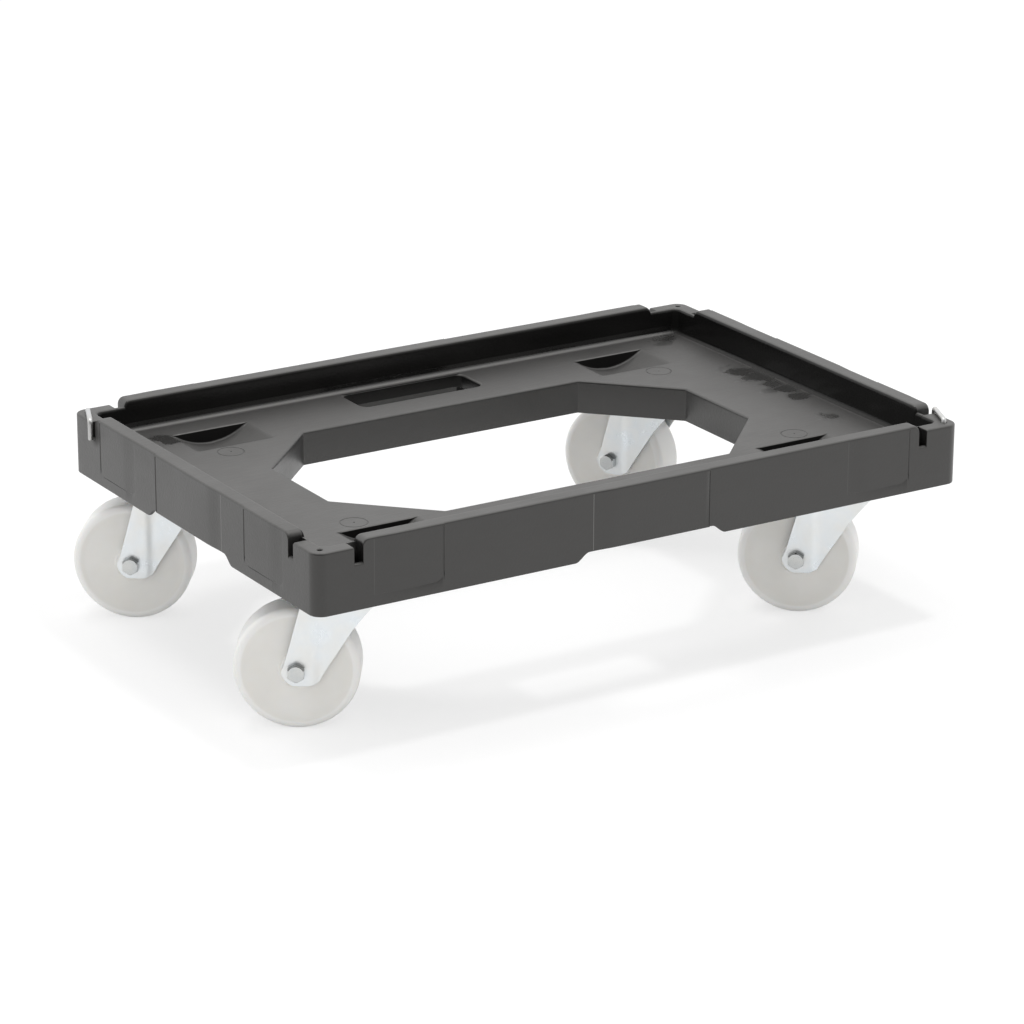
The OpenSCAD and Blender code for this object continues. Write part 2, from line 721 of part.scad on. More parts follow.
// The pressed fork: crown with the lower race, and two legs that carry the axle
module fork() {
  back = trail - leg_top_back;
  front = trail - leg_top_front;
  color("gainsboro") difference() {
    union() {
      translate([0, 0, crown_under]) cylinder(r = crown_radius, h = fork_thickness, $fn = fine);
      box([front, leg_joggle - leg_outer, crown_under], [back, leg_outer - leg_joggle, crown_top]);
      box([trail - leg_bend, -leg_outer, crown_under], [back, leg_outer, crown_top]);
      translate([0, 0, crown_top]) cylinder(r = race_outer, h = race_thickness, $fn = fine);
      intersection() {
        translate([trail, 0, 0]) mirror([1, 0, 0]) linear_extrude(crown_top) leg_plan();
        translate([trail, leg_outer + past, wheel_radius]) mirror([1, 0, 0])
          rotate([90, 0, 0]) linear_extrude(2 * (leg_outer + past)) leg_outline();
      }
    }
    translate([0, 0, crown_top]) cylinder(r = race_inner, h = race_thickness + past, $fn = fine);
    ball_groove();
    translate([0, 0, crown_under - past])
      cylinder(r = kingpin_radius + fit_clearance, h = fork_thickness + 2 * past, $fn = small);
    translate([trail, 0, wheel_radius]) rotate([90, 0, 0])
      cylinder(r = bolt_radius + fit_clearance, h = 2 * (leg_outer + past), center = true, $fn = small);
  }
}

// Half of the wheel's section: radius and distance from the middle plane, from bore to tread
function wheel_section(side) =
  let (w = wheel_width / 2, bore = sleeve_radius + fit_clearance)
  [[bore, side * hub_length / 2],
   [hub_radius - hub_chamfer, side * hub_length / 2],
   [hub_radius, side * (hub_length / 2 - hub_chamfer)],
   [hub_radius + hub_chamfer, side * (w - wheel_dish)],
   [wheel_radius - 2 * tread_round, side * (w - wheel_dish)],
   for (i = [0 : tread_steps])
     [wheel_radius - tread_round + tread_round * sin(90 * i / tread_steps),
      side * (w - tread_round + tread_round * cos(90 * i / tread_steps))]];

// The solid polyamide wheel
module wheel() {
  back = wheel_section(-1);
  outline = concat(wheel_section(1), [for (i = [len(back) - 1 : -1 : 0]) back[i]]);
  color("whitesmoke") translate([trail, 0, wheel_radius]) rotate([90, 0, 0])
    rotate_extrude($fn = fine) polygon(outline);
}

// The steel sleeve on which the wheel turns, clamped between the legs
module axle_sleeve() {
  color("silver") translate([trail, 0, wheel_radius]) rotate([90, 0, 0]) difference() {
    cylinder(r = sleeve_radius, h = 2 * leg_inner, center = true, $fn = small);
    cylinder(r = bolt_radius + fit_clearance, h = 3 * leg_inner, center = true, $fn = small);
  }
}

// A hexagon, lying on z = 0
module hexagon(height) {
  cylinder(r = hex_size / sqrt(3), h = height, $fn = 6);
}

// The axle bolt: its head is on the side that faces +Y when the wheel trails along +X
module axle_bolt() {
  color("silver") translate([trail, leg_outer, wheel_radius]) {
    rotate([-90, 0, 0]) hexagon(head_height);
    rotate([90, 0, 0]) translate([0, 0, -past])
      cylinder(r = bolt_radius, h = 2 * leg_outer + nut_height + bolt_tip + past, $fn = small);
  }
}

// The lock nut on the other end of the axle bolt
module axle_nut() {
  color("silver") translate([trail, -leg_outer, wheel_radius]) rotate([90, 0, 0]) difference() {
    hexagon(nut_height);
    translate([0, 0, -past])
      cylinder(r = bolt_radius + fit_clearance, h = nut_height + 2 * past, $fn = small);
  }
}

// One of the four screws that hold a caster plate to the frame
module screw(index) {
  s = CORNERS[index - 1];
  color("silver") translate([s[0] * screw_pitch_x / 2, s[1] * screw_pitch_y / 2, plate_under]) {
    translate([0, 0, -head_height]) hexagon(head_height);
    translate([0, 0, -past]) cylinder(r = screw_radius, h = screw_length + past, $fn = small);
  }
}

// Places its children at a caster's swivel axis: without its yaw, or turned to its trailing direction
module at_caster(c) {
  translate([c[1] * swivel_x, c[2] * swivel_y, 0]) children();
}

module at_swivel(c) {
  at_caster(c) rotate([0, 0, c[3]]) children();
}

frame();
for (h = HOOKS) rotate([0, 0, h[1]]) {
  hook();
  hook_collar();
}
for (c = CASTERS) {
  at_caster(c) plate();
  at_caster(c) seal();
  at_caster(c) kingpin();
  at_swivel(c) ball_cage();
  at_swivel(c) fork();
  at_swivel(c) wheel();
  at_swivel(c) axle_sleeve();
  at_swivel(c) axle_bolt();
  at_swivel(c) axle_nut();
  for (i = [1 : 4])
    at_caster(c) screw(i);
}
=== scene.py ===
"""Crate dolly: a moulded tray frame on four swivel casters with two wire coupling hooks.

Lengths in the classes are millimetres in the frame's own axes: X along the long side, Y along the short side,
Z up from the floor. Meshes are put into Blender in metres.
"""

import logging
import math
from dataclasses import dataclass, field
from enum import Enum

import bmesh
import bpy
import numpy as np
from mathutils import Matrix, Vector
from mathutils.geometry import tessellate_polygon


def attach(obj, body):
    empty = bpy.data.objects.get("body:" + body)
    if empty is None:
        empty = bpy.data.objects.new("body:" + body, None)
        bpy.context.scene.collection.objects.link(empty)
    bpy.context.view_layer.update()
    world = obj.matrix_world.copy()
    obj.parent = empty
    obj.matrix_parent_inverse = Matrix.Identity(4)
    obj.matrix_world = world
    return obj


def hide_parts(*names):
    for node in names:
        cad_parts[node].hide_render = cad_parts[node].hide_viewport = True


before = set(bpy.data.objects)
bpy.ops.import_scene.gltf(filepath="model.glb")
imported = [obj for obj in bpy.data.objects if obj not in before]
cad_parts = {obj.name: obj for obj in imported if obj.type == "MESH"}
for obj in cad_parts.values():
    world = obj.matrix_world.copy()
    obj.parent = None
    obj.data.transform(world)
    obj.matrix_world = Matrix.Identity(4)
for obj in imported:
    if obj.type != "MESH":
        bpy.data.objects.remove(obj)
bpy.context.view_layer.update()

LOG = logging.getLogger("crate_dolly")
MM = 0.001
MERGE_WITHIN = 2e-6
CORNERS = ((-1, -1), (-1, 1), (1, -1), (1, 1))

Array = np.ndarray
Piece = bpy.types.Object
Material = bpy.types.Material
Socket = bpy.types.NodeSocket
Colour = tuple[float, float, float]
Span = tuple[float, float]


# Curves and outlines


def quarter_turn(count: int) -> Array:
    """Angles from 0 to a right angle, both included."""
    return np.radians(np.linspace(0, 90, count))


def full_turn(count: int) -> Array:
    """Equal angles all the way round."""
    return np.linspace(0, 2 * np.pi, count, endpoint=False)


def step_up(x: Array, low: float, high: float) -> Array:
    """A straight ramp from 0 at low to 1 at high."""
    return np.clip((x - low) / (high - low), 0, 1)


def ease_up(x: Array, low: float, high: float) -> Array:
    """A ramp from 0 at low to 1 at high with rounded ends."""
    share = step_up(x, low, high)
    return share * share * (3 - 2 * share)


def rolled(past: Array, radius: float) -> Array:
    """How far a quarter round lies below its crest at a distance past its start."""
    near = np.clip(past, 0, radius)
    return radius - np.sqrt(np.maximum(radius**2 - near**2, 0))


@dataclass(frozen=True)
class Outline:
    """A closed plan curve, counterclockwise, with its outward normals."""

    points: Array
    normals: Array

    @staticmethod
    def rounded(corners: Array, radius: float) -> "Outline":
        """A convex polygon whose corners are arcs tangent to both sides.

        Args:
            corners: the polygon's corners, counterclockwise.
            radius: radius of each corner arc.

        Returns:
            The outline. Each arc's centre lies inwards on the corner's bisector, at radius over the sine of half
            the corner's angle.
        """
        before, after = np.roll(corners, 1, 0) - corners, np.roll(corners, -1, 0) - corners
        before /= np.linalg.norm(before, axis=1)[:, None]
        after /= np.linalg.norm(after, axis=1)[:, None]
        half = np.arccos(np.clip((before * after).sum(1), -1, 1)) / 2
        bisector = before + after
        bisector /= np.linalg.norm(bisector, axis=1)[:, None]
        centre = corners + bisector * (radius / np.sin(half))[:, None]
        first = np.arctan2(-before[:, 0], before[:, 1])
        turn = np.pi - 2 * half
        angle = first[:, None] + turn[:, None] * np.linspace(0, 1, 7)[None] + np.pi
        normal = np.stack([np.cos(angle), np.sin(angle)], -1)
        normal *= np.sign((normal[:, :1] * (corners - centre)[:, None]).sum(-1, keepdims=True))
        return Outline((centre[:, None] + radius * normal).reshape(-1, 2), normal.reshape(-1, 2))

    @staticmethod
    def circle(centre: tuple[float, float], radius: float, steps: int = 48) -> "Outline":
        """A circle."""
        a = full_turn(steps)
        normal = np.stack([np.cos(a), np.sin(a)], 1)
        return Outline(np.array(centre) + radius * normal, normal)

    @staticmethod
    def box(centre: tuple[float, float], length: float, width: float, radius: float) -> "Outline":
        """A rectangle with rounded corners."""
        x, y = length / 2, width / 2
        corners = np.array([[x, -y], [x, y], [-x, y], [-x, -y]]) + np.array(centre)
        return Outline.rounded(corners.astype(float), radius)

    def wall(self, profile: list[tuple[float, float]] | Array) -> Array:
        """The curve carried along a profile.

        Args:
            profile: rows of (distance outwards, height).

        Returns:
            A grid of points, one row per curve point: the point moved along its normal, at the profile's height.
        """
        rows = np.array(profile, float)[None]
        plan = self.points[:, None] + self.normals[:, None] * rows[..., :1]
        height = np.broadcast_to(rows[..., 1:], plan.shape[:2] + (1,))
        return np.concatenate([plan, height], -1)


class Skin:
    """Grids and flat fills that share their edges and become one mesh."""

    def __init__(self) -> None:
        """Starts with nothing in it."""
        self.points: list[Array] = []
        self.faces: list[Array] = []
        self.marks: list[Array] = []
        self.count = 0

    def add(self, points: Array, mark: Array | float = 0.0) -> Array:
        """Adds points with their edge marks and returns their numbers, in the points' own layout."""
        flat = points.reshape(-1, 3)
        self.points.append(flat)
        self.marks.append(np.broadcast_to(mark, points.shape[:-1]).ravel())
        numbers = np.arange(self.count, self.count + len(flat)).reshape(points.shape[:-1])
        self.count += len(flat)
        return numbers

    def grid(self, points: Array, wrap_u: bool = True, wrap_v: bool = False, mark: Array | float = 0.0) -> Array:
        """Adds a surface given on a grid.

        Args:
            points: points laid out as (u, v, 3).
            wrap_u: whether the last u joins the first.
            wrap_v: whether the last v joins the first.
            mark: edge marks, which the materials paint: above 0 a lighter colour, on the plastic a painted highlight,
                and -1 a groove in painted shade.

        Returns:
            The points' numbers, laid out as (u, v).
        """
        n = self.add(points, mark)
        a, b = (n, np.roll(n, -1, 0)) if wrap_u else (n[:-1], n[1:])
        if wrap_v:
            a, b = np.concatenate([a, a[:, :1]], 1), np.concatenate([b, b[:, :1]], 1)
        self.faces.append(np.stack([a[:, :-1], b[:, :-1], b[:, 1:], a[:, 1:]], -1).reshape(-1, 4))
        return n

    def bridge(self, first: Array, second: Array) -> None:
        """Joins two loops of equal length with a band of faces."""
        self.faces.append(np.stack([first, np.roll(first, -1), np.roll(second, -1), second], 1))

    def fill(self, *loops: Array) -> None:
        """Fills the flat area inside the first loop and outside the others, all given as point numbers."""
        everything = np.concatenate(self.points)
        flat = [[Vector(p) for p in everything[loop].tolist()] for loop in loops]
        triangles = np.array(tessellate_polygon(flat))
        self.faces.append(np.concatenate(loops)[triangles])

    def fan(self, loop: Array, centre: tuple[float, float, float]) -> None:
        """Closes a loop with triangles round one centre point."""
        c = self.add(np.array([centre], float))
        self.faces.append(np.stack([loop, np.roll(loop, -1), np.full(len(loop), c[0])], 1))

    def build(self, name: str, crease: float = 32, place: Matrix | None = None) -> Piece:
        """Makes the object, in metres, with doubles merged and faces outwards.

        Args:
            name: the object's name.
            crease: edges that turn more than this many degrees stay sharp.
            place: where the mesh goes in the frame's axes, in millimetres.

        Returns:
            The object, at the origin and unturned.
        """
        points = np.concatenate(self.points)
        if place is not None:
            m = np.array(place)
            points = points @ m[:3, :3].T + m[:3, 3]
        sizes = np.concatenate([np.full(len(f), f.shape[1]) for f in self.faces])
        corners = np.concatenate([f.ravel() for f in self.faces])
        mesh = bpy.data.meshes.new(name)
        mesh.vertices.add(len(points))
        mesh.vertices.foreach_set("co", (points * MM).astype(np.float32).ravel())
        mesh.loops.add(len(corners))
        mesh.loops.foreach_set("vertex_index", corners.astype(np.int32))
        mesh.polygons.add(len(sizes))
        mesh.polygons.foreach_set("loop_start", np.concatenate([[0], np.cumsum(sizes)[:-1]]).astype(np.int32))
        mesh.update(calc_edges=True)
        # The edge marks ride on a point attribute; the plastic paints them as highlights and groove shade.
        line = mesh.attributes.new("edge_line", "FLOAT", "POINT")
        line.data.foreach_set("value", np.concatenate(self.marks).astype(np.float32))
        tidy = bmesh.new()
        tidy.from_mesh(mesh)
        bmesh.ops.remove_doubles(tidy, verts=tidy.verts, dist=MERGE_WITHIN)
        bmesh.ops.recalc_face_normals(tidy, faces=tidy.faces)
        tidy.to_mesh(mesh)
        tidy.free()
        mesh.shade_smooth()
        mesh.set_sharp_from_angle(angle=math.radians(crease))
        return stand(name, mesh)


def stand(name: str, data: bpy.types.ID | None) -> Piece:
    """Puts a new object with the given data into the scene."""
    made = bpy.data.objects.new(name, data)
    bpy.context.scene.collection.objects.link(made)
    return made


def keep_shape(piece: Piece) -> None:
    """Makes what a piece's modifiers do part of its mesh, and takes them off."""
    bpy.context.view_layer.update()
    name = piece.data.name
    done = bpy.data.meshes.new_from_object(piece.evaluated_get(bpy.context.evaluated_depsgraph_get()))
    piece.modifiers.clear()
    piece.data = done
    done.name = name


def solid_of_turning(profile: list[tuple[float, float]] | Array, steps: int = 96) -> Skin:
    """A profile turned about the Z axis.

    Args:
        profile: rows of (radius, height); a closed ring if no radius is 0, else closed at both poles.
        steps: copies round the axis.

    Returns:
        The skin: x and y are the radius times the turn's cosine and sine.
    """
    a, rows = full_turn(steps)[:, None], np.array(profile, float)
    r, z = rows[None, :, 0], np.broadcast_to(rows[None, :, 1], (steps, len(rows)))
    skin = Skin()
    skin.grid(np.stack([r * np.cos(a), r * np.sin(a), z], -1), wrap_v=bool((rows[:, 0] > 0).all()))
    return skin


# Finishes


class Grain(Enum):
    """Kinds of surface pattern that several finishes share."""

    MOTTLE = "surface_mottle"
    SCUFFS = "fine_scuffs"


class Nodes:
    """A node tree with short helpers; wherever they take a value, a socket is linked and a constant is set."""

    def __init__(self, tree: bpy.types.NodeTree) -> None:
        """Takes the tree that the helpers add to."""
        self.tree = tree

    def feed(self, target: Socket, value: object) -> None:
        """Gives a socket its value; a colour is three numbers."""
        if isinstance(value, Socket):
            self.tree.links.new(value, target)
        else:
            target.default_value = (*value, 1) if target.type == "RGBA" else value

    def new(self, kind: str, inputs: dict[str | int, object] | None = None, **settings: object) -> bpy.types.Node:
        """A new node with the given inputs and settings."""
        node = self.tree.nodes.new(kind)
        for name, value in settings.items():
            setattr(node, name, value)
        for name, value in (inputs or {}).items():
            self.feed(node.inputs[name], value)
        return node

    def math(self, operation: str, *values: object) -> Socket:
        """One sum of its values, each a socket or a number."""
        return self.new("ShaderNodeMath", dict(enumerate(values)), operation=operation).outputs[0]

    def ramp(self, value: Socket, low: float, high: float) -> Socket:
        """Maps 0 to 1 onto low to high."""
        return self.new("ShaderNodeMapRange", {"Value": value, "To Min": low, "To Max": high}).outputs["Result"]

    def soft_step(self, value: Socket, start: float, end: float, low: float = 0.0, high: float = 1.0) -> Socket:
        """Goes smoothly from low to high while the value goes from start to end."""
        inputs = {"Value": value, "From Min": start, "From Max": end, "To Min": low, "To Max": high}
        return self.new("ShaderNodeMapRange", inputs, interpolation_type="SMOOTHSTEP").outputs["Result"]

    def blend(self, share: Socket, low: object, high: object) -> Socket:
        """A colour between two colours."""
        return self.new("ShaderNodeMix", {0: share, 6: low, 7: high}, data_type="RGBA").outputs[2]

    def mix(self, share: Socket, low: object, high: object) -> Socket:
        """A value between two values."""
        return self.new("ShaderNodeMix", {0: share, 2: low, 3: high}, data_type="FLOAT").outputs[0]


def noise_group(kind: Grain) -> bpy.types.ShaderNodeTree:
    """The node group of a shared pattern, built once.

    Args:
        kind: which pattern.

    Returns:
        The group. Its inputs are Vector and Scale, and its output Mask is 0 to 1, centred on a half.
    """
    made = bpy.data.node_groups.get(kind.value)
    if made is not None:
        return made
    made = bpy.data.node_groups.new(kind.value, "ShaderNodeTree")
    for name, way, sort in (("Vector", "INPUT", "Vector"), ("Scale", "INPUT", "Float"), ("Mask", "OUTPUT", "Float")):
        made.interface.new_socket(name, in_out=way, socket_type=f"NodeSocket{sort}")
    n = Nodes(made)
    given = n.new("NodeGroupInput").outputs
    vector, detail, roughness = given["Vector"], 3, 0.55
    if kind is Grain.SCUFFS:
        stretch = {"Vector": vector, "Rotation": (0, 0, 0.5), "Scale": (0.25, 2.5, 1)}
        vector, detail, roughness = n.new("ShaderNodeMapping", stretch).outputs["Vector"], 6, 0.7
    noise = {"Vector": vector, "Scale": given["Scale"], "Detail": detail, "Roughness": roughness}
    mask = n.soft_step(n.new("ShaderNodeTexNoise", noise).outputs["Fac"], 0.2, 0.8)
    n.new("NodeGroupOutput", {"Mask": mask})
    return made


class Surface(Nodes):
    """A new material's node tree."""

    def __init__(self, name: str) -> None:
        """Makes an empty material with a Principled shader."""
        self.material = bpy.data.materials.new(name)
        self.material.use_nodes = True
        super().__init__(self.material.node_tree)
        self.shader = self.tree.nodes["Principled BSDF"]
        self.place = self.new("ShaderNodeTexCoord").outputs["Object"]

    def pattern(self, kind: Grain, scale: float) -> Socket:
        """A shared pattern's mask at a scale in waves per metre."""
        inputs = {"Vector": self.place, "Scale": scale}
        return self.new("ShaderNodeGroup", inputs, node_tree=noise_group(kind)).outputs["Mask"]

    def line(self) -> Socket:
        """The mesh's own edge marks: painted highlights and groove shade on the plastic, the lighter tread on the
        wheels.
        """
        return self.new("ShaderNodeAttribute", attribute_name="edge_line").outputs["Fac"]

    def axes(self, vector: Socket) -> dict[str, Socket]:
        """A vector's three parts."""
        return self.new("ShaderNodeSeparateXYZ", {"Vector": vector}).outputs

    def bump(self, height: Socket, distance: float, under: Socket | None = None) -> Socket:
        """A normal from a height of 0 to 1, whose full rise is distance in metres, on top of another normal."""
        below = {} if under is None else {"Normal": under}
        return self.new("ShaderNodeBump", {"Distance": distance, "Height": height, **below}).outputs["Normal"]

    def finish(self, **values: object) -> Material:
        """Sets the shader's own sockets, an underscore standing for a space, and returns the material."""
        for name, value in values.items():
            self.feed(self.shader.inputs[name.replace("_", " ")], value)
        return self.material


@dataclass(frozen=True)
class MouldedPlastic:
    """Anthracite moulded plastic: finely textured where it lies flat, smoother on its walls, polished in blots."""

    name: str
    dark: Colour = (0.0068, 0.0066, 0.0064)
    light: Colour = (0.0100, 0.0097, 0.0093)
    # painted_highlight: pale grey painted onto edges marked above 0, standing in for the highlights that light puts
    # along them.
    painted_highlight: Colour = (0.24, 0.236, 0.23)
    # groove: near black painted into the pads' closing grooves as painted shade.
    groove: Colour = (0.001, 0.001, 0.001)
    # Painted sheen: a pale colour mixed into level faces, up or down, to light them as a broad sheen would.
    painted_sheen_colour: Colour = (1.0, 0.98, 0.95)
    painted_sheen: float = 0.028
    flat_rough: Span = (0.5, 0.6)
    wall_rough: Span = (0.12, 0.18)
    skirt_rough: Span = (0.3, 0.4)
    scuff_rough: float = 0.03
    level_from: Span = (0.3, 0.95)
    mottle_waves: float = 14
    scuff_waves: float = 160
    blot_waves: float = 75
    slow_waves: float = 9
    grain_waves: float = 520
    tray: tuple[float, float, float] = (292.0, 192.0, 149.8)
    wave: float = 0.00008
    grain: float = 0.00006
    specular: float = 0.5
    ior: float = 1.66
    tint: Colour = (1.0, 0.985, 0.962)
    blots: tuple[tuple[float, ...], ...] = ()
    blot_rough: float = 0.13
    blot_wobble: float = 0.6
    rubs: tuple[tuple[float, ...], ...] = ()
    rub_rough: float = 0.65

    def make(self) -> Material:
        """The material: mottled colour and gloss, shallow waves, a fine grain, painted highlights on marked edges,
        painted shade in the grooves and a painted sheen on level faces.
        """
        n = Surface(self.name)
        mottle, line = n.pattern(Grain.MOTTLE, self.mottle_waves), n.line()
        up = n.axes(n.new("ShaderNodeNewGeometry").outputs["Normal"])["Z"]
        level = n.soft_step(n.math("ABSOLUTE", up), *self.level_from)
        # Painted highlight: edges marked above 0 are lightened towards a pale grey.
        colour = n.blend(n.math("MAXIMUM", line, 0.0), n.blend(mottle, self.dark, self.light), self.painted_highlight)
        # Painted shade: edges marked below 0, the closing grooves, go almost black.
        colour = n.blend(n.math("MAXIMUM", n.math("MULTIPLY", line, -1.0), 0.0), colour, self.groove)
        # Painted sheen: level faces, up or down, are lifted a little towards white.
        colour = n.blend(n.math("MULTIPLY", level, self.painted_sheen), colour, self.painted_sheen_colour)
        wall, flat = n.ramp(mottle, *self.wall_rough), n.ramp(mottle, *self.flat_rough)
        wall = n.mix(self.inside_tray(n), n.ramp(mottle, *self.skirt_rough), wall)
        scuffs = n.ramp(n.pattern(Grain.SCUFFS, self.scuff_waves), -self.scuff_rough, self.scuff_rough)
        gloss = n.math("ADD", n.mix(level, wall, flat), scuffs)
        if self.blots:
            wobble = n.ramp(n.pattern(Grain.MOTTLE, self.blot_waves), -self.blot_wobble, self.blot_wobble)
            blots = n.math("MULTIPLY", self.spots(n, self.blots, wobble), n.math("GREATER_THAN", up, 0.5))
            gloss = n.mix(blots, gloss, self.blot_rough)
        if self.rubs:
            gloss = n.mix(self.spots(n, self.rubs), gloss, self.rub_rough)
        waves = n.bump(n.pattern(Grain.MOTTLE, self.slow_waves), self.wave)
        return n.finish(Base_Color=colour, Roughness=gloss, IOR=self.ior, Specular_Tint=self.tint,
                        Normal=n.bump(n.pattern(Grain.MOTTLE, self.grain_waves), self.grain, waves),
                        Specular_IOR_Level=self.specular)

    def inside_tray(self, n: Surface) -> Socket:
        """1 above the tray floor and within the rim's inner faces, else 0: the larger of |x| and |y| as shares."""
        axes = n.axes(n.place)
        shares = [n.math("DIVIDE", n.math("ABSOLUTE", axes[name]), reach * MM) for name, reach in zip("XY", self.tray)]
        above = n.math("GREATER_THAN", axes["Z"], self.tray[2] * MM)
        return n.math("MULTIPLY", n.math("LESS_THAN", n.math("MAXIMUM", *shares), 1.0), above)

    def spots(self, n: Surface, places: tuple[tuple[float, ...], ...], wobble: object = 0.0) -> Socket:
        """Soft spots, each 1 at its centre and falling to 0 round its radius.

        Args:
            n: the material's nodes.
            places: x, y, z, radius and strength of each spot.
            wobble: what is added to the distance as a share of the radius, which makes the edges wavy.

        Returns:
            The strongest spot's value at each place.
        """
        total = None
        for x, y, z, radius, strength in places:
            centre = (x * MM, y * MM, z * MM)
            near = n.new("ShaderNodeVectorMath", {0: n.place, 1: centre}, operation="DISTANCE").outputs["Value"]
            share = n.math("ADD", n.math("DIVIDE", near, radius * MM), wobble)
            spot = n.soft_step(share, 1.3, 0.5, high=strength)
            total = spot if total is None else n.math("MAXIMUM", total, spot)
        return total


@dataclass(frozen=True)
class ZincSteel:
    """Bright zinc-plated steel: nearly white, with a faint blue and straw cast."""

    name: str
    cool: Colour = (0.68, 0.72, 0.75)
    warm: Colour = (0.78, 0.78, 0.76)
    rough: Span = (0.26, 0.42)
    streak_rough: float = 0.05
    drift_waves: float = 45
    streak_waves: float = 260
    drift_rise: float = 0.00006
    streak_rise: float = 0.000012

    def make(self) -> Material:
        """The material: a slow colour drift, rolled streaks and a soft uneven gloss."""
        n = Surface(self.name)
        drift = n.pattern(Grain.MOTTLE, self.drift_waves)
        streaks = n.pattern(Grain.SCUFFS, self.streak_waves)
        streak_gloss = n.ramp(streaks, -self.streak_rough, self.streak_rough)
        return n.finish(Base_Color=n.blend(drift, self.cool, self.warm), Metallic=1.0,
                        Roughness=n.math("ADD", n.ramp(drift, *self.rough), streak_gloss),
                        Normal=n.bump(streaks, self.streak_rise, n.bump(drift, self.drift_rise)))


@dataclass(frozen=True)
class NaturalNylon:
    """Natural white polyamide, softly translucent, with faint turning and wear marks."""

    name: str
    shade: Colour = (0.80, 0.785, 0.745)
    light: Colour = (0.86, 0.85, 0.82)
    shoulder: Colour = (0.88, 0.875, 0.855)
    rough: Span = (0.34, 0.44)
    scuff_rough: float = 0.05
    cloud_waves: float = 22
    scuff_waves: float = 190
    cloud_rise: float = 0.00015
    scuff_rise: float = 0.00002
    scatter: float = 0.25
    depth: tuple[float, float, float] = (0.006, 0.005, 0.004)
    ior: float = 1.53

    def make(self) -> Material:
        """The material: cloudy colour, light scattered under the skin and a satin gloss."""
        n = Surface(self.name)
        cloud = n.pattern(Grain.MOTTLE, self.cloud_waves)
        scuffs = n.pattern(Grain.SCUFFS, self.scuff_waves)
        scuff_gloss = n.ramp(scuffs, -self.scuff_rough, self.scuff_rough)
        return n.finish(Base_Color=n.blend(n.line(), n.blend(cloud, self.shade, self.light), self.shoulder),
                        Subsurface_Weight=self.scatter, Subsurface_Radius=self.depth, Subsurface_Scale=1.0,
                        Roughness=n.math("ADD", n.ramp(cloud, *self.rough), scuff_gloss), IOR=self.ior,
                        Normal=n.bump(scuffs, self.scuff_rise, n.bump(cloud, self.cloud_rise)))


POLISHED_BLOTS = tuple((x, y, 149.3, radius, strength) for x, y, radius, strength in (
    (272, 63, 17, 1.0), (284, 60, 12, 0.9), (266, 44, 13, 0.8), (277, 40, 15, 1.0), (286, 42, 10, 0.8),
    (274, 20, 11, 0.8), (263, 5, 10, 0.6), (282, 1, 13, 1.0), (275, -21, 12, 0.9), (264, -80, 9, 0.7),
    (270, 180, 12, 0.8), (262, 166, 9, 0.5), (-241, 154, 14, 0.9)))
HOOK_RUBS = ((-306, 163, 163, 10, 1.0), (306, -163, 163, 10, 1.0))


@dataclass(frozen=True)
class Finishes:
    """Every finish of the dolly, made once."""

    body: Material = field(default_factory=MouldedPlastic(
        "anthracite_plastic", blots=POLISHED_BLOTS, rubs=HOOK_RUBS).make)
    dull: Material = field(default_factory=MouldedPlastic("anthracite_dull_wall", specular=0.08).make)
    seal: Material = field(default_factory=MouldedPlastic(
        "seal_plastic", dark=(0.05, 0.05, 0.05), light=(0.07, 0.07, 0.07)).make)
    zinc: Material = field(default_factory=ZincSteel("zinc_steel").make)
    bolt: Material = field(default_factory=ZincSteel(
        "zinc_fastener", cool=(0.45, 0.475, 0.49), warm=(0.57, 0.57, 0.55), rough=(0.16, 0.24)).make)
    wire: Material = field(default_factory=ZincSteel(
        "zinc_wire", cool=(0.42, 0.43, 0.44), warm=(0.5, 0.49, 0.47), rough=(0.4, 0.5)).make)
    nylon: Material = field(default_factory=NaturalNylon("natural_nylon").make)


def dress(piece: Piece, finish: Material, body: str, stands_for: str) -> None:
    """Gives a piece its finish, the body it moves with and the solid that it stands for.

    Args:
        piece: the new object.
        finish: its material.
        body: name of the moving body that it rides on.
        stands_for: name of the solid that it replaces.
    """
    piece.data.materials.clear()
    piece.data.materials.append(finish)
    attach(piece, body)
    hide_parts(stands_for)
    LOG.info("%s: %d faces, rides on %s", piece.name, len(piece.data.polygons), body)


def coat(node: str, finish: Material) -> None:
    """Puts a finish on a solid that shows as it is."""
    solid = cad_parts[node]
    solid.data.materials.clear()
    solid.data.materials.append(finish)
    LOG.info("%s: solid kept, finish %s", node, finish.name)


def join(first: Piece, *others: Piece) -> Piece:
    """Joins meshes into the first object, keeping its name."""
    whole = bmesh.new()
    for piece in (first, *others):
        whole.from_mesh(piece.data)
    whole.to_mesh(first.data)
    whole.free()
    for piece in others:
        bpy.data.objects.remove(piece)
    return first


# The moulded frame

# Rows of a section's chain: the skirt's outer face, and the foot of the tray's wall.
OUTER_ROWS = slice(8, 15)
FOOT_ROWS = slice(-5, -3)


@dataclass(frozen=True)
class Side:
    """One side of the frame; places along it are counted from its middle.

    The worn ends are the pads' low ends if way is 1, and their high ends if it is -1; the mould closes beside the
    other ends.
    """

    half: float
    reach: float
    pads: tuple[Span, ...]
    groove: float
    crease: float
    way: int

    def spans(self, pad: Span) -> tuple[Span, ...]:
        """The stretches that a pad takes: one across the middle, or one on each side of it."""
        start, end = pad
        return ((start, end), (-end, -start)) if start > 0 else ((-end, end),)


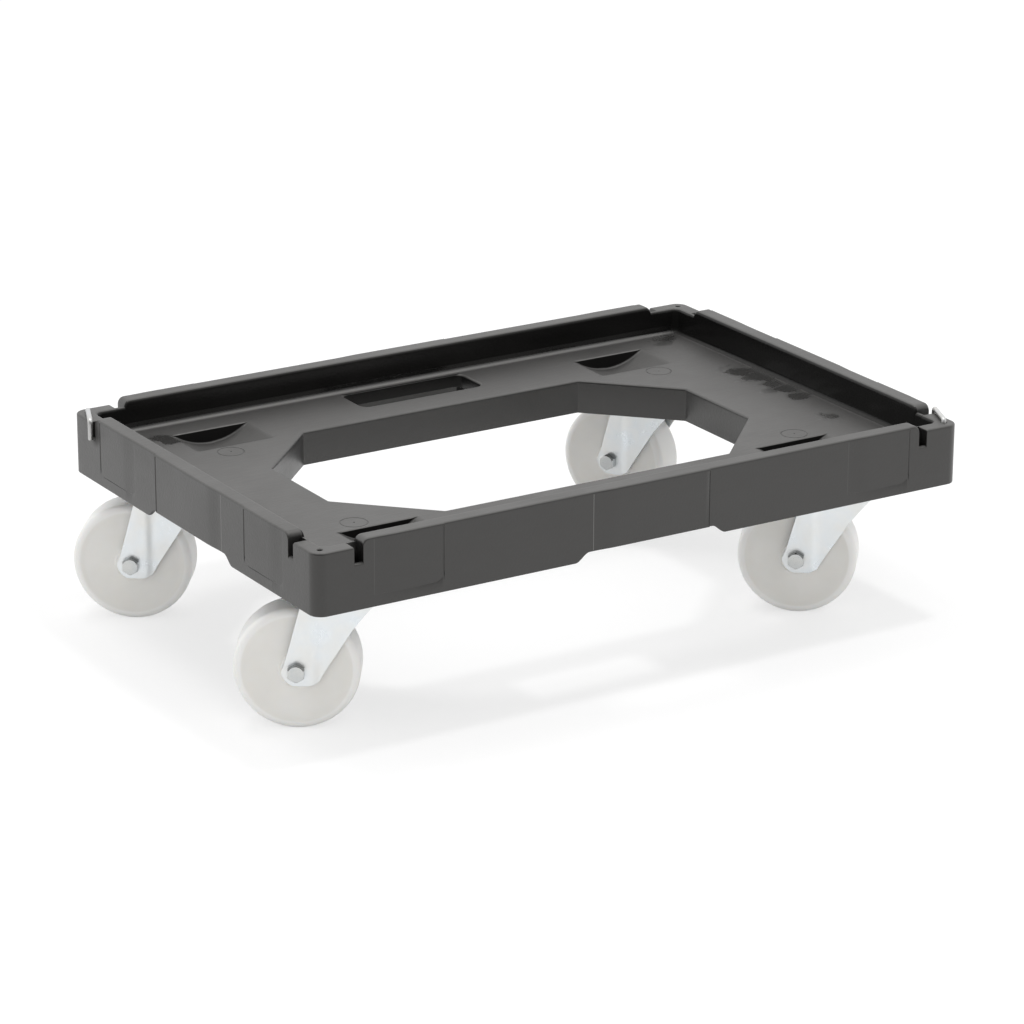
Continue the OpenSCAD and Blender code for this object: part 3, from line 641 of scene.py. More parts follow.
@dataclass
class TrayFrame:
    """The moulded frame: skirt, hollow rim, tray floor and everything cut into or standing under it."""

    half_length: float = 305.0
    half_width: float = 205.0
    corner_radius: float = 10.5
    tray_corner: float = 20.5
    wall: float = 3.2
    inner_wall: float = 2.8
    rim_width: float = 14.5
    skin: float = 3.0
    skirt_z: float = 120.0
    arch_rise: float = 7.3
    arch_end: Span = (58.5, 71.5)
    plateau_z: float = 171.4
    rim_z: float = 176.8
    deck_z: float = 149.3
    under_z: float = 145.3
    slot_z: float = 157.7
    slot_inset: float = 38.0
    slot_width: float = 8.0
    slot_round: float = 0.8
    slot_edge: float = 2.4
    slot_floor: float = 5.0
    slot_ceiling: float = 2.2
    slot_lean: float = 0.05
    slot_line: float = 0.01
    top_lines: float = 2.3
    rim_end_radius: float = 5.0
    outer_round: float = 1.6
    inner_round: float = 3.0
    fillet: float = 4.5
    foot_lines: Span = (8.0, 3.0)
    deck_line: float = 0.6
    chamfer: float = 0.6
    toe: float = 0.8
    middle_pad: float = 1.0
    end_pad: float = 0.6
    end_pad_z: float = 10.0
    pad_radius: float = 8.0
    step: float = 0.15
    worn: float = 22.0
    closest: float = 0.015
    crease_lines: tuple[float, float, float] = (0.9, 0.5, 0.07)
    long_pads: tuple[Span, ...] = ((0.0, 55.0), (191.5, 253.5))
    short_pads: tuple[Span, ...] = ((0.0, 55.0), (92.5, 154.5))
    creases: Span = (0.14, 0.6)
    grooves: Span = (0.4, 0.9)
    groove_gap: float = 0.1
    groove_depth: float = 1.2
    # Painted highlights on the pads' worn end steps: strength on a middle pad, then on an end pad.
    painted_highlight_marks: Span = (0.5, 0.1)
    # Painted highlight along the fillet at the back wall's foot.
    foot_shine: float = 0.3
    # Painted highlight along the pockets' top edges.
    edge_shine: float = 0.6
    opening_half: Span = (203.3, 114.5)
    opening_cut: Span = (66.9, 67.8)
    opening_round: float = 2.5
    opening_edge: float = 2.0
    opening_wall: float = 3.0
    hand_slot: tuple[float, float, float] = (119.0, 40.0, 7.0)
    hand_slot_y: float = 166.5
    hand_slot_drop: float = 12.0
    hand_slot_edge: float = 2.2
    hand_slot_wall: float = 3.0
    # Painted highlight on the hand slots' rounded edges.
    hand_slot_shine: float = 0.18
    pocket_x: float = 199.0
    pocket_size: tuple[float, float, float] = (72.0, 47.6, 12.7)
    pocket_edge: float = 1.2
    pocket_fillet: float = 2.0
    pocket_past: float = 2.5
    pocket_ease: float = 0.9
    pocket_least: float = 0.2
    # Shares of the pockets' painted edge highlights on each side, and where one side's highlight grows along the
    # trough.
    shine_shares: Span = (0.25, 0.4)
    shine_run: Span = (-12, 22)
    cup_wall: float = 2.4
    cup_chamfer: float = 0.8
    drain: float = 9.0
    drain_offset: float = 6.5
    mark_inset: Span = (28.0, 38.0)
    mark_radius: float = 11.5
    swivel: Span = (240.0, 139.5)
    screw_pitch: Span = (60.0, 80.0)
    screw_boss: Span = (8.0, 4.06)
    seat: Span = (85.0, 105.0)
    seat_z: float = 126.0
    rib: float = 3.0
    rib_round: float = 0.6
    rib_gap: float = 0.1
    rib_at: Span = (78.0, 34.0)
    rib_drop: float = 8.0
    guide: Span = (24.5, 42.8)
    in_floor: float = 1.5
    in_cup: Span = (1.2, 2.0)
    pivot_inset: float = 9.5
    pivot_bore: float = 2.16
    pivot_post: tuple[float, float, float] = (5.6, 157.5, 170.0)
    bore_foot: float = 160.0
    countersink: Span = (0.65, 1.65)
    mark_depth: float = 0.4
    mark_dot: float = 1.0
    dull_above: float = 2.5
    dull_margin: float = 0.5
    dull_levels: tuple[float, float, float] = (0.8, 0.98, 0.4)

    def side(self, quarter: int) -> Side:
        """The front, right, back or left side, as 0 to 3."""
        way, other = (1 if quarter < 2 else -1), quarter % 2
        halves = self.half_length, self.half_width
        return Side(halves[other], halves[1 - other], (self.long_pads, self.short_pads)[other],
                    self.grooves[other], self.creases[other], way)

    def corner_inset(self, inset: Array) -> Array:
        """How far the corner arcs' centre lies in from the faces: the skirt's own, then blending to the tray's."""
        share = step_up(inset, self.wall, self.rim_width - self.inner_wall)
        return self.corner_radius + (self.tray_corner - self.corner_radius) * share

    def slot_ends(self, side: Side) -> Span:
        """Where the coupling slot begins and ends along a side."""
        middle = side.half - self.slot_inset
        return middle - self.slot_width / 2, middle + self.slot_width / 2

    def side_stations(self, side: Side) -> Array:
        """Places along one side at which its section is given, close together where the section changes."""
        slot_in, slot_out = self.slot_ends(side)
        turn, edge = quarter_turn(7), self.slot_line
        places = [np.array([slot_in - edge, slot_in + edge, slot_out - edge, slot_out + edge,
                            side.half - self.tray_corner - 1]),
                  slot_in - self.rim_end_radius * (1 - np.sin(turn)) - edge,
                  slot_out + self.slot_round * (1 - np.cos(turn)) + edge,
                  np.linspace(0, slot_in - 8, 22), np.linspace(*self.arch_end, 13)]
        notch = self.step + self.groove_gap + side.groove * np.arange(3)
        bend = self.pad_radius * (1 - np.cos(turn))
        for start, end in side.pads:
            if start > 0:
                places += [start + self.step + bend, end - self.step - bend]
            for place, inwards in ((end, -1), (start, 1)) if start > 0 else ((end, -1),):
                places += [place + inwards * np.array([-self.chamfer, 0, self.step]), place + inwards * notch,
                           place + inwards * np.linspace(1, self.worn, 7)]
        right = np.unique(np.round(np.concatenate(places), 3))
        right = right[np.concatenate([[True], np.diff(right) > self.closest])]
        return np.concatenate([-right[:0:-1], right])

    def pad_steps(self, t: Array, side: Side) -> tuple[Array, Array, Array, Array]:
        """What the raised pads do to the skirt's outer face.

        Args:
            t: places along the side.
            side: the side.

        Returns:
            How far the face stands out below and above the end pads' lower edge, that edge's height, and how deep
            the crease along it is.
        """
        a = np.abs(t)
        low, high, crease = np.zeros_like(a), np.zeros_like(a), np.zeros_like(a)
        edge = np.full_like(a, self.skirt_z + self.end_pad_z)
        run_low, run_high = (self.worn, self.step) if side.way > 0 else (self.step, self.worn)
        for start, end in side.pads:
            spans = side.spans((start, end))
            raised = sum(ease_up(t, lo, lo + run_low) * (1 - ease_up(t, hi - run_high, hi)) for lo, hi in spans)
            if start == 0:
                low, high = low + self.middle_pad * raised, high + self.middle_pad * raised
                continue
            high = high + self.end_pad * raised
            on_pad = (a > start) & (a < end)
            beside = np.minimum(a - start, end - a) - self.step
            edge = edge + on_pad * rolled(self.pad_radius - np.clip(beside, 0, None), self.pad_radius)
            along = sum(step_up(t, lo, hi) * ((t > lo) & (t < hi)) for lo, hi in spans)
            closing = along if side.way > 0 else on_pad - along
            crease = crease + side.crease * closing * (2 - closing)
        return low, high, edge, crease

    def section(self, t: Array, side: Side) -> Array:
        """The frame's section at each place of a side, from the tray floor's underside round the skirt to its top.

        The chain runs: up the rim's hollow, along its ceiling, down the skirt's inner face, round its lower edge, up
        the outer face over the pad's step, round the outer top edge, over the top or down through a coupling slot,
        round the inner top edge, down the tray's wall and through the fillet onto the tray floor.

        Args:
            t: places along the side.
            side: the side; its end stations have the corner's section.

        Returns:
            An array of (place, chain, 2) holding inset and height.
        """
        a, turn = np.abs(t), quarter_turn(6)
        slot_in, slot_out = self.slot_ends(side)
        in_slot, on_rim = (a > slot_in) & (a < slot_out), a <= slot_in
        rim_top = self.rim_z - rolled(a - (slot_in - self.rim_end_radius), self.rim_end_radius)
        plateau = self.plateau_z - rolled(slot_out + self.slot_round - a, self.slot_round)
        inner = np.where(on_rim, rim_top, self.plateau_z)
        outer = np.where(on_rim, rim_top, np.where(in_slot, self.slot_z, plateau))
        ceiling = np.where(in_slot, self.under_z + self.slot_ceiling,
                           np.where(a < slot_in - self.inner_wall, self.rim_z, self.plateau_z) - self.skin)
        bottom = self.skirt_z + self.arch_rise * (1 - ease_up(a, *self.arch_end))
        low, high, edge, crease = self.pad_steps(t, side)
        i2, i1, cut, toe = self.rim_width - self.inner_wall, self.wall, self.chamfer, self.toe
        ro, ri, rf = self.outer_round, self.inner_round, self.fillet
        far, mid, near = self.crease_lines
        floor, foot = np.where(in_slot, self.under_z + self.slot_floor, outer), self.deck_z + rf
        chain = [(i2, self.under_z), (i2, ceiling), (i1, ceiling), (i1, bottom + cut), (i1 - cut, bottom),
                 (toe - low, bottom), (0.3 * toe - low, bottom + 0.3 * toe), (-low, bottom + toe),
                 (-low, bottom + toe + mid), (-low, edge - far), (crease - low, edge - mid), (-low, edge - near),
                 (-high, edge + near), (-high, edge + mid), (-high, outer - ro - 0.4)]
        chain += [(ro * (1 - np.cos(q)) - high, outer - ro * (1 - np.sin(q))) for q in turn]
        aside = np.where(in_slot, self.slot_lean, self.top_lines)
        chain += [(i1, outer), (i1 + aside, floor), (i2 - aside, floor),
                  (np.where(in_slot, i2, self.rim_width - ri - 0.2), np.where(in_slot, inner, outer))]
        lip = self.inner_wall - 2 * self.slot_lean
        chain += [(self.rim_width - np.where(in_slot, lip, ri) * (1 - np.sin(q)),
                   inner - np.where(in_slot, self.slot_edge, ri) * (1 - np.cos(q))) for q in turn]
        chain += [(self.rim_width, foot + above) for above in self.foot_lines]
        chain += [(self.rim_width + rf * (1 - np.cos(q)), self.deck_z + rf * (1 - np.sin(q))) for q in turn]
        chain.append((self.rim_width + rf + self.deck_line, self.deck_z))
        return np.stack([np.stack(np.broadcast_arrays(*pair, a)[:2], -1) for pair in chain], 1)

    def edge_lines(self, t: Array, side: Side) -> tuple[Array, Array]:
        """The pads' end lines along a side.

        Args:
            t: places along the side.
            side: the side.

        Returns:
            For each place and each of the outer face's rows, a painted highlight's strength on the worn end's step and
            -1 in a closing groove, which is painted dark as shade, and the groove's depth: a V just inside the end.
            The lines of an end pad stop at its lower edge.
        """
        count = OUTER_ROWS.stop - OUTER_ROWS.start
        value, dent = np.zeros((len(t), count)), np.zeros((len(t), count))
        for pad in side.pads:
            at_end = pad[0] > 0
            rows = slice(4 if at_end else 0, count)
            for span in side.spans(pad):
                painted_highlight, closed = span[::side.way]
                # Painted highlight on the step at the worn end.
                value[np.abs(t - painted_highlight) < self.step + 0.02, rows] = self.painted_highlight_marks[at_end]
                middle = closed - side.way * (self.step + self.groove_gap + side.groove)
                beside = 1 - np.abs(t - middle) / side.groove
                depth = self.groove_depth * side.groove * np.clip(beside, 0, 1)
                dent[:, rows] = np.maximum(dent[:, rows], depth[:, None])
                # Painted shade: the groove's middle is marked -1, which the material paints almost black.
                value[beside > 0.5, rows] = -1
        return value, dent

    def around(self) -> tuple[Array, Array]:
        """The whole rim as a grid: each side's sections, then each corner's, turned a quarter turn at a time.

        Returns:
            The grid and its edge marks: the pads' end lines, painted as highlights and groove shade, and a painted
                highlight along the tray wall's foot on the back side.
        """
        turn, rings, marks = quarter_turn(13), [], []
        for quarter in range(4):
            side = self.side(quarter)
            t = self.side_stations(side)
            straight, bend = self.section(t, side), self.section(np.full(len(turn), side.half), side)
            value, dent = self.edge_lines(t, side)
            straight[:, OUTER_ROWS, 0] += dent
            plan = np.stack([np.broadcast_to(t[:, None], straight.shape[:2]), straight[..., 0] - side.reach], -1)
            centre = self.corner_inset(bend[..., 0])
            radius, q = centre - bend[..., 0], turn[:, None]
            arc = np.stack([side.half - centre + radius * np.sin(q), centre - side.reach - radius * np.cos(q)], -1)
            x, y = np.moveaxis(np.concatenate([plan, arc]), -1, 0)
            c, s = ((1, 0), (0, 1), (-1, 0), (0, -1))[quarter]
            rings.append(np.stack([c * x - s * y, s * x + c * y, np.concatenate([straight, bend])[..., 1]], -1))
            mark = np.zeros(x.shape)
            mark[:len(t), OUTER_ROWS] = value
            # Painted highlight along the fillet at the foot of the back wall.
            mark[:, FOOT_ROWS] = self.foot_shine if quarter == 2 else 0.0
            marks.append(mark)
        return np.concatenate(rings), np.concatenate(marks)

    def edge_profile(self, outwards: float, down_to: float, wall: float) -> list[tuple[float, float]]:
        """A hole's edge: a quarter round from the tray floor, down the wall and up its outer side to the underside."""
        cut, line = self.chamfer, self.deck_line
        return [(outwards + line, self.deck_z),
                *((outwards * (1 - math.sin(q)), self.deck_z - outwards * (1 - math.cos(q))) for q in quarter_turn(6)),
                (0, self.deck_z - outwards - line), (0, down_to + cut), (0.3 * cut, down_to + 0.3 * cut),
                (cut, down_to), (wall - cut, down_to), (wall, down_to + cut), (wall, self.under_z)]

    def shell(self) -> Piece:
        """The frame's main skin: rim, tray floor and every opening, as one closed surface."""
        skin = Skin()
        grid, marks = self.around()
        rim = skin.grid(grid, mark=marks)
        top, under = [rim[:, -1]], [rim[:, 0]]
        (l, w), (cx, cy) = self.opening_half, self.opening_cut
        corners = np.array([[l, w - cy], [l - cx, w], [cx - l, w], [-l, w - cy],
                            [-l, cy - w], [cx - l, -w], [l - cx, -w], [l, cy - w]])
        opening = self.edge_profile(self.opening_edge, self.skirt_z, self.opening_wall)
        hand = self.edge_profile(self.hand_slot_edge, self.deck_z - self.hand_slot_drop, self.hand_slot_wall)
        holes = [(Outline.rounded(corners, self.opening_round), opening, 0.0)]
        holes += [(Outline.box((0, sign * self.hand_slot_y), *self.hand_slot), hand, self.hand_slot_shine)
                  for sign in (-1, 1)]
        for outline, profile, shine in holes:
            # Painted highlight on the rounded edge of each hand slot; none round the opening.
            mark = np.zeros((1, len(profile)))
            mark[:, 2:5] = shine
            ring = skin.grid(outline.wall(profile), mark=mark)
            top.append(ring[:, 0])
            under.append(ring[:, -1])
        for sx, sy in CORNERS:
            self.pocket(skin, top, under, sx, sy)
            self.mark(skin, top, sx, sy)
        skin.fill(*top)
        skin.fill(*under)
        made = skin.build("frame_shell")
        self.bore_corners(made)
        return made

    def pocket(self, skin: Skin, top: list[Array], under: list[Array], sx: int, sy: int) -> None:
        """Adds one stacking pocket: a trough whose floor is a cylinder across the frame, its cup and its drain hole.

        Along X the trough is as deep as the cylinder lies below the tray floor, eased to nothing just past its ends.
        Across it, the section runs from the tray floor round an edge, down a wall, through a fillet, over the floor
        and back up; edge and fillet shrink with the depth. The cup below follows the same cylinder, one wall larger.
        """
        length, width, depth = self.pocket_size
        half, w, edge, fillet = length / 2, width / 2, self.pocket_edge, self.pocket_fillet
        big = (half**2 + depth**2) / (2 * depth)
        x0, y0 = sx * self.pocket_x, sy * self.swivel[1]
        hole = -sx * self.drain_offset + np.array([-self.drain / 2, self.drain / 2])

        def lines(end: float, steps: int) -> Array:
            """Places along the trough, with lines at the drain hole's sides and none across it."""
            u = np.linspace(-end, end, steps)
            u = u[(u < hole[0] - 0.4) | (u > hole[1] + 0.4)]
            return np.sort(np.concatenate([u, hole]))[:, None]

        def patch(u: Array, side: list[Array], fall: list[Array], mark: Array | float = 0.0) -> tuple[Array, Array]:
            """Adds a patch with a square hole in its middle, and returns its border and the hole's corners.

            Its section is given from one side's border to the hole, and is the same mirrored on the other side.
            """
            side, fall = (np.concatenate([part + 0 * u for part in parts], 1) for parts in (side, fall))
            across = np.concatenate([-side, side[:, ::-1]], 1)
            down = np.concatenate([fall, fall[:, ::-1]], 1)
            n = skin.add(np.stack([x0 + np.broadcast_to(u, across.shape), y0 + across, down], -1), mark)
            quads = np.stack([n[:-1, :-1], n[1:, :-1], n[1:, 1:], n[:-1, 1:]], -1)
            i, k = int(np.searchsorted(u[:, 0], hole[0] - self.slot_line)), across.shape[1] // 2 - 1
            keep = np.ones(quads.shape[:2], bool)
            keep[i, k] = False
            skin.faces.append(quads[keep])
            border = np.concatenate([n[:, 0], n[-1, 1:], n[-2::-1, -1], n[0, -2:0:-1]])
            return border, quads[i, k]

        u = lines(half + self.pocket_past, 49)
        sag = np.sqrt(big**2 - u**2) - (big - depth)
        deep = (sag + np.sqrt(sag**2 + self.pocket_ease)) / 2
        deep = np.clip(deep - deep[0], 0, None)
        size = np.minimum(deep / (edge + fillet), 1)
        spread = np.maximum(size, self.pocket_least)
        q = quarter_turn(6)[None]
        side = [w + edge * spread + 0.4, w + edge * spread * (1 - np.sin(q)), w - fillet * spread * (1 - np.cos(q)),
                self.drain / 2]
        fall = [self.deck_z, self.deck_z - edge * size * (1 - np.cos(q)),
                self.deck_z + (fillet * size * (1 - np.sin(q)) - deep), self.deck_z - deep]
        # Painted highlights along the trough's two rounded top edges; on one side it grows along the trough.
        shine = np.zeros((len(u), 4 * (1 + q.size)))
        shine[:, 3:5] = self.edge_shine * size * (self.shine_shares[0] + ease_up(u, *self.shine_run))
        shine[:, -5:-3] = self.edge_shine * size * self.shine_shares[1]
        rim, mouth = patch(u, side, fall, shine)
        outer = big + self.cup_wall
        middle = self.deck_z - depth + big
        u = lines(math.sqrt(outer**2 - (middle - self.under_z) ** 2), 33)
        low = np.minimum(middle - np.sqrt(outer**2 - u**2), self.under_z)
        out, cut = w + self.cup_wall, self.cup_chamfer
        size = np.minimum((self.under_z - low) / (2 * cut), 1)
        foot, drain = patch(u, [out, out - self.slot_lean, out - cut, self.drain / 2],
                            [self.under_z, low + cut * size, low, low])
        skin.bridge(mouth, drain)
        top.append(rim)
        under.append(foot)

    def mark(self, skin: Skin, top: list[Array], sx: int, sy: int) -> None:
        """Adds the ring and dot that the mould leaves near an inner screw."""
        x, y = sx * (self.swivel[0] - self.mark_inset[0]), sy * (self.swivel[1] - self.mark_inset[1])
        z, low = self.deck_z, self.deck_z - self.mark_depth
        groove = [(0.5, z), (0, z), (-0.3, low), (-0.7, low), (-1.0, z), (-1.5, z)]
        ring = skin.grid(Outline.circle((x, y), self.mark_radius, 64).wall(groove))
        dot = skin.grid(Outline.circle((x, y), self.mark_dot, 16).wall([(0.4, z), (0, z), (-0.4, z - 0.5)]))
        skin.fill(ring[:, -1], dot[:, 0])
        skin.fan(dot[:, -1], (x, y, z - 0.55))
        top.append(ring[:, 0])

    def bore_corners(self, shell: Piece) -> None:
        """Bores the four corner holes with their countersinks through the plateaus' skin."""
        r, z, foot, (deep, wide) = self.pivot_bore, self.plateau_z, self.bore_foot, self.countersink
        base = solid_of_turning([(0, foot), (r, foot), (r, z - deep), (r + wide, z + 1.0), (0, z + 1.0)], 32)
        one = np.concatenate(base.points)
        cutter = Skin()
        for sx, sy in CORNERS:
            cutter.faces.append(base.faces[0] + cutter.count)
            cutter.add(one + np.array([*self.pivot(sx, sy), 0]))
        tool = cutter.build("corner_bores")
        cut = shell.modifiers.new("bores", "BOOLEAN")
        cut.object, cut.operation, cut.solver = tool, "DIFFERENCE", "EXACT"
        keep_shape(shell)
        shell.data.set_sharp_from_angle(angle=math.radians(32))
        bpy.data.objects.remove(tool)

    def pivot(self, sx: int, sy: int) -> Span:
        """The plan position of a corner hole."""
        return sx * (self.half_length - self.pivot_inset), sy * (self.half_width - self.pivot_inset)

    def underside(self) -> Piece:
        """Caster seats, screw bosses, guide posts and ribs, each a bar or post that ends inside the tray floor."""
        skin, thick = Skin(), self.rib
        top, hx, hy = self.deck_z - self.in_floor, self.seat[0] / 2, self.seat[1] / 2
        under_cup = self.deck_z - self.pocket_size[2] - self.in_cup[0]
        beside_cup = under_cup - self.in_cup[1]
        rest = hy - (self.pocket_size[1] / 2 + self.cup_wall) + 0.6
        flat_x, flat_y = 2 * (hx - thick - self.rib_gap), 2 * (hy - thick - self.rib_gap)
        outside = self.half_length - self.wall / 2, self.half_width - self.wall / 2
        rib_foot = self.under_z - self.rib_drop
        rib_x, rib_y = (outside[k] - self.opening_half[k] - self.opening_wall / 2 for k in (0, 1))

        def post(outline: Outline, low: float, high: float, bore: float = 0.0) -> None:
            """Adds an upright post over a plan outline, with a small chamfer at its foot and an optional bore."""
            rings = [skin.grid(outline.wall([(-0.5, low), (0, low + 0.5), (0, high)]))]
            if bore > 0:
                middle = tuple(outline.points.mean(0))
                rings.append(skin.grid(Outline.circle(middle, bore, 24).wall([(0, low), (0, high)])))
            for end in (0, -1):
                skin.fill(*(ring[:, end] for ring in rings))

        def bar(x: float, y: float, length: float, width: float, low: float, high: float) -> None:
            """Adds an upright bar round a plan position."""
            post(Outline.box((x, y), length, width, self.rib_round), low, high)

        for sx, sy in CORNERS:
            x, y = sx * self.swivel[0], sy * self.swivel[1]
            end = sx * (hx - thick / 2)
            bar(x + end, y, thick, 2 * hy, self.seat_z, top)
            bar(x - end, y, thick, 2 * hy, self.seat_z, under_cup)
            for side in (-1, 1):
                bar(x, y + side * (hy - thick / 2), flat_x, thick, self.seat_z, top)
                bar(x - end, y + side * (hy - rest / 2), thick, rest, beside_cup, top)
            bar(x, y, thick, flat_y, self.seat_z, top)
            bar(x, y, flat_x, thick, self.seat_z, under_cup)
            bar(x + sx * (hx - self.guide[0]), y, self.guide[1], thick, beside_cup, top)
            for px, py in CORNERS:
                boss = (x + px * self.screw_pitch[0] / 2, y + py * self.screw_pitch[1] / 2)
                post(Outline.circle(boss, self.screw_boss[0]), self.seat_z, top, self.screw_boss[1])
            radius, *ends = self.pivot_post
            post(Outline.circle(self.pivot(sx, sy), radius), *ends, self.pivot_bore)
            bar(sx * self.rib_at[0], sy * (outside[1] - rib_y / 2), thick, rib_y, rib_foot, top)
            bar(sx * (outside[0] - rib_x / 2), sy * self.rib_at[1], rib_x, thick, rib_foot, top)
        return skin.build("frame_underside")

    def dull_walls(self, shell: Piece, finish: Material) -> None:
        """Makes the rim's inner side, the short sides' feet and the upright faces under the tray floor dull.

        A face belongs to one of them by its middle's place and by how level it is: 0 upright, 1 flat.
        """
        faces = shell.data.polygons
        normal, centre = np.empty(len(faces) * 3), np.empty(len(faces) * 3)
        faces.foreach_get("normal", normal)
        faces.foreach_get("center", centre)
        x, y, z = np.abs(centre.reshape(-1, 3).T) / MM
        from_end, from_side, level = self.half_length - x, self.half_width - y, np.abs(normal[2::3])
        wall_foot, tray = self.deck_z + self.fillet + self.dull_above, self.rim_width - self.dull_margin
        rim_level, foot_level, low_level = self.dull_levels
        rim = (z > wall_foot) & (z < self.rim_z - self.dull_margin) & (level < rim_level)
        rim &= (from_end > self.rim_width - 2) & (from_side > self.rim_width - 2)
        foot = (z > self.deck_z + 0.05) & (z <= wall_foot) & (level < foot_level)
        foot &= (from_end < self.rim_width + self.fillet + 0.1) & (from_end > tray) & (from_side > tray)
        low = (z < self.deck_z - 0.8) & (from_end > self.wall - 1) & (from_side > self.wall - 1) & (level < low_level)
        low &= (x > self.opening_half[0] + 0.1) | (y > self.opening_half[1] + 0.1)
        low &= (from_end > self.corner_radius) | (from_side > self.corner_radius)
        dull = rim | foot | low
        shell.data.materials.append(finish)
        faces.foreach_set("material_index", dull.astype(np.int32))
        LOG.info("%s: %d dull faces", shell.name, int(dull.sum()))

    def build(self, finishes: Finishes) -> None:
        """Makes and dresses the frame's pieces."""
        shell = self.shell()
        dress(shell, finishes.body, "frame", "frame")
        self.dull_walls(shell, finishes.dull)
        dress(self.underside(), finishes.body, "frame", "frame")


# Casters


@dataclass
class Caster:
    """One swivel caster, built trailing along +X from its swivel axis and then turned and set in its corner."""

    name: str
    x: float
    y: float
    yaw: float
    trail: float = 39.0
    wheel_radius: float = 50.0
    half_width: float = 17.0
    tread_round: float = 5.5
    hub_half: float = 19.9
    hub_radius: float = 13.0
    bore: float = 6.06
    leg_inner: float = 20.2
    leg_foot: float = 12.0
    leg_bend: float = 5.0
    sheet: float = 2.5
    crown_z: float = 113.8
    crown_radius: float = 34.0
    joggle: float = 2.0
    bend: float = 13.5
    flat: float = 6.5
    head_height: float = 5.3
    nut_height: float = 8.0
    nut_bore: float = 4.06
    shank: float = 4.0
    thread_pitch: float = 0.6
    thread_depth: float = 0.35
    race: tuple[float, float, float] = (27.0, 118.4, 3.26)
    web_at: Span = (2.0, 13.5)
    web: tuple[float, float, float] = (58.0, 14.0, 3.0)
    edge_round: float = 0.45
    foot_line: tuple[tuple[float, ...], ...] = ((-12, -11.2, -8.5, -5, 0), (5.0, 12.0, 17.5, 19.5, 22.2))
    front_line: tuple[tuple[float, ...], ...] = ((0, 35, 48, 63.8), (22.2, 44.2, 54.5, 68.0))
    back_line: tuple[tuple[float, ...], ...] = ((0, 8.4, 63.8), (-12.0, -8.6, 6.2))

    def place(self) -> Matrix:
        """From the caster's own axes to the frame's, in millimetres."""
        return Matrix.Translation((self.x, self.y, 0)) @ Matrix.Rotation(math.radians(self.yaw), 4, "Z")

    def axle(self, side: float) -> Matrix:
        """From an axis standing on +Z to the axle, pointing to the given side of the wheel."""
        tip = Matrix.Rotation(math.radians(-90 * side), 4, "X")
        return self.place() @ Matrix.Translation((self.trail, 0, self.wheel_radius)) @ tip

    def wheel(self) -> Piece:
        """The wheel, turned from a section with a rounded tread, a slightly dished side and a hub that stands out."""
        w, r, t, hub, out = self.half_width, self.wheel_radius, self.tread_round, self.hub_radius, self.hub_half
        half = np.array([(self.bore, out - 0.4), (self.bore + 0.4, out), (hub - 1.0, out), (hub - 0.3, out - 0.3),
                         (hub, out - 1.0), (hub + 0.4, w + 0.3), (hub + 1.6, w - 0.8), (hub + 3.0, w - 1.0),
                         (r - t - 5.5, w - 0.9), (r - t - 3.0, w - 0.45), (r - t - 1.4, w - 0.05)]
                        + [(r - t + t * math.sin(q), w - t + t * math.cos(q)) for q in quarter_turn(12)])
        tread = np.array([(r, 6.0), (r, 0.0), (r, -6.0)])
        section = np.concatenate([half, tread, half[::-1] * np.array([1, -1])])
        made = solid_of_turning(section, 144)
        made.marks = [np.tile((section[:, 0] > r - t - 0.5) * 1.0, 144)]
        return made.build(f"wheel_{self.name}_tyre", 40, self.axle(1))

    def hexagon(self, name: str, height: float, bore: float, side: float) -> Piece:
        """A hexagon head or nut on a leg, with chamfered corners and a raised washer face.

        The radius at turn a is the flat's distance over the cosine of a's distance from the nearest flat's middle;
        the chamfer is a 30 degree cone that cuts the corners where it is lower than the prism.

        Args:
            name: the object's name.
            height: height over the leg's face.
            bore: radius of its hole, or 0 for a head.
            side: 1 or -1, the end of the axle that it sits on.

        Returns:
            The piece.
        """
        a, flat, start = full_turn(96), self.flat, self.leg_inner + self.sheet
        corner = flat / np.cos((a + np.pi / 6) % (np.pi / 3) - np.pi / 6)
        cone = flat * 0.95
        drop = (corner - cone) * math.tan(math.radians(30))
        skin = Skin()

        def loft(rows: list[tuple[Array | float, Array | float]]) -> Array:
            """Adds a surface through loops of (radius, height over the leg's face)."""
            return skin.grid(np.stack([np.stack(np.broadcast_arrays(r * np.cos(a), r * np.sin(a), z + start), -1)
                                       for r, z in rows], 1))

        ring = loft([(flat * 0.9, 0.0), (flat * 0.93, 0.4), (corner - 0.25, 0.45), (corner, 0.75),
                     (corner, height - drop), (cone, height), (cone - 0.6, height + 0.02)])
        if bore > 0:
            hole = loft([(bore + 0.5, height), (bore, height - 0.5), (bore, 0.4)])
            skin.bridge(ring[:, -1], hole[:, 0])
            skin.bridge(ring[:, 0], hole[:, -1])
        else:
            skin.fan(ring[:, -1], (0, 0, height + start))
            skin.fan(ring[:, 0], (0, 0, start))
        return skin.build(name, 28, self.axle(side))

    def bolt(self) -> Piece:
        """The axle bolt: its head on the leg, and its shank through both legs to past the nut."""
        head = self.hexagon(f"axle_bolt_{self.name}_head", self.head_height, 0, 1)
        near, r = self.leg_inner + self.sheet + 0.2, self.shank
        far = self.leg_inner + self.sheet + self.nut_height + 2.0
        thread = [(r - self.thread_depth * (k % 2), 0.8 - far + self.thread_pitch * k) for k in range(14)]
        profile = [(0, -far), (3.2, -far), *thread, (r, 9.4 - far), (r, near), (0, near)]
        shank = solid_of_turning(profile, 32).build(f"axle_bolt_{self.name}_shank", 30, self.axle(1))
        return join(head, shank)

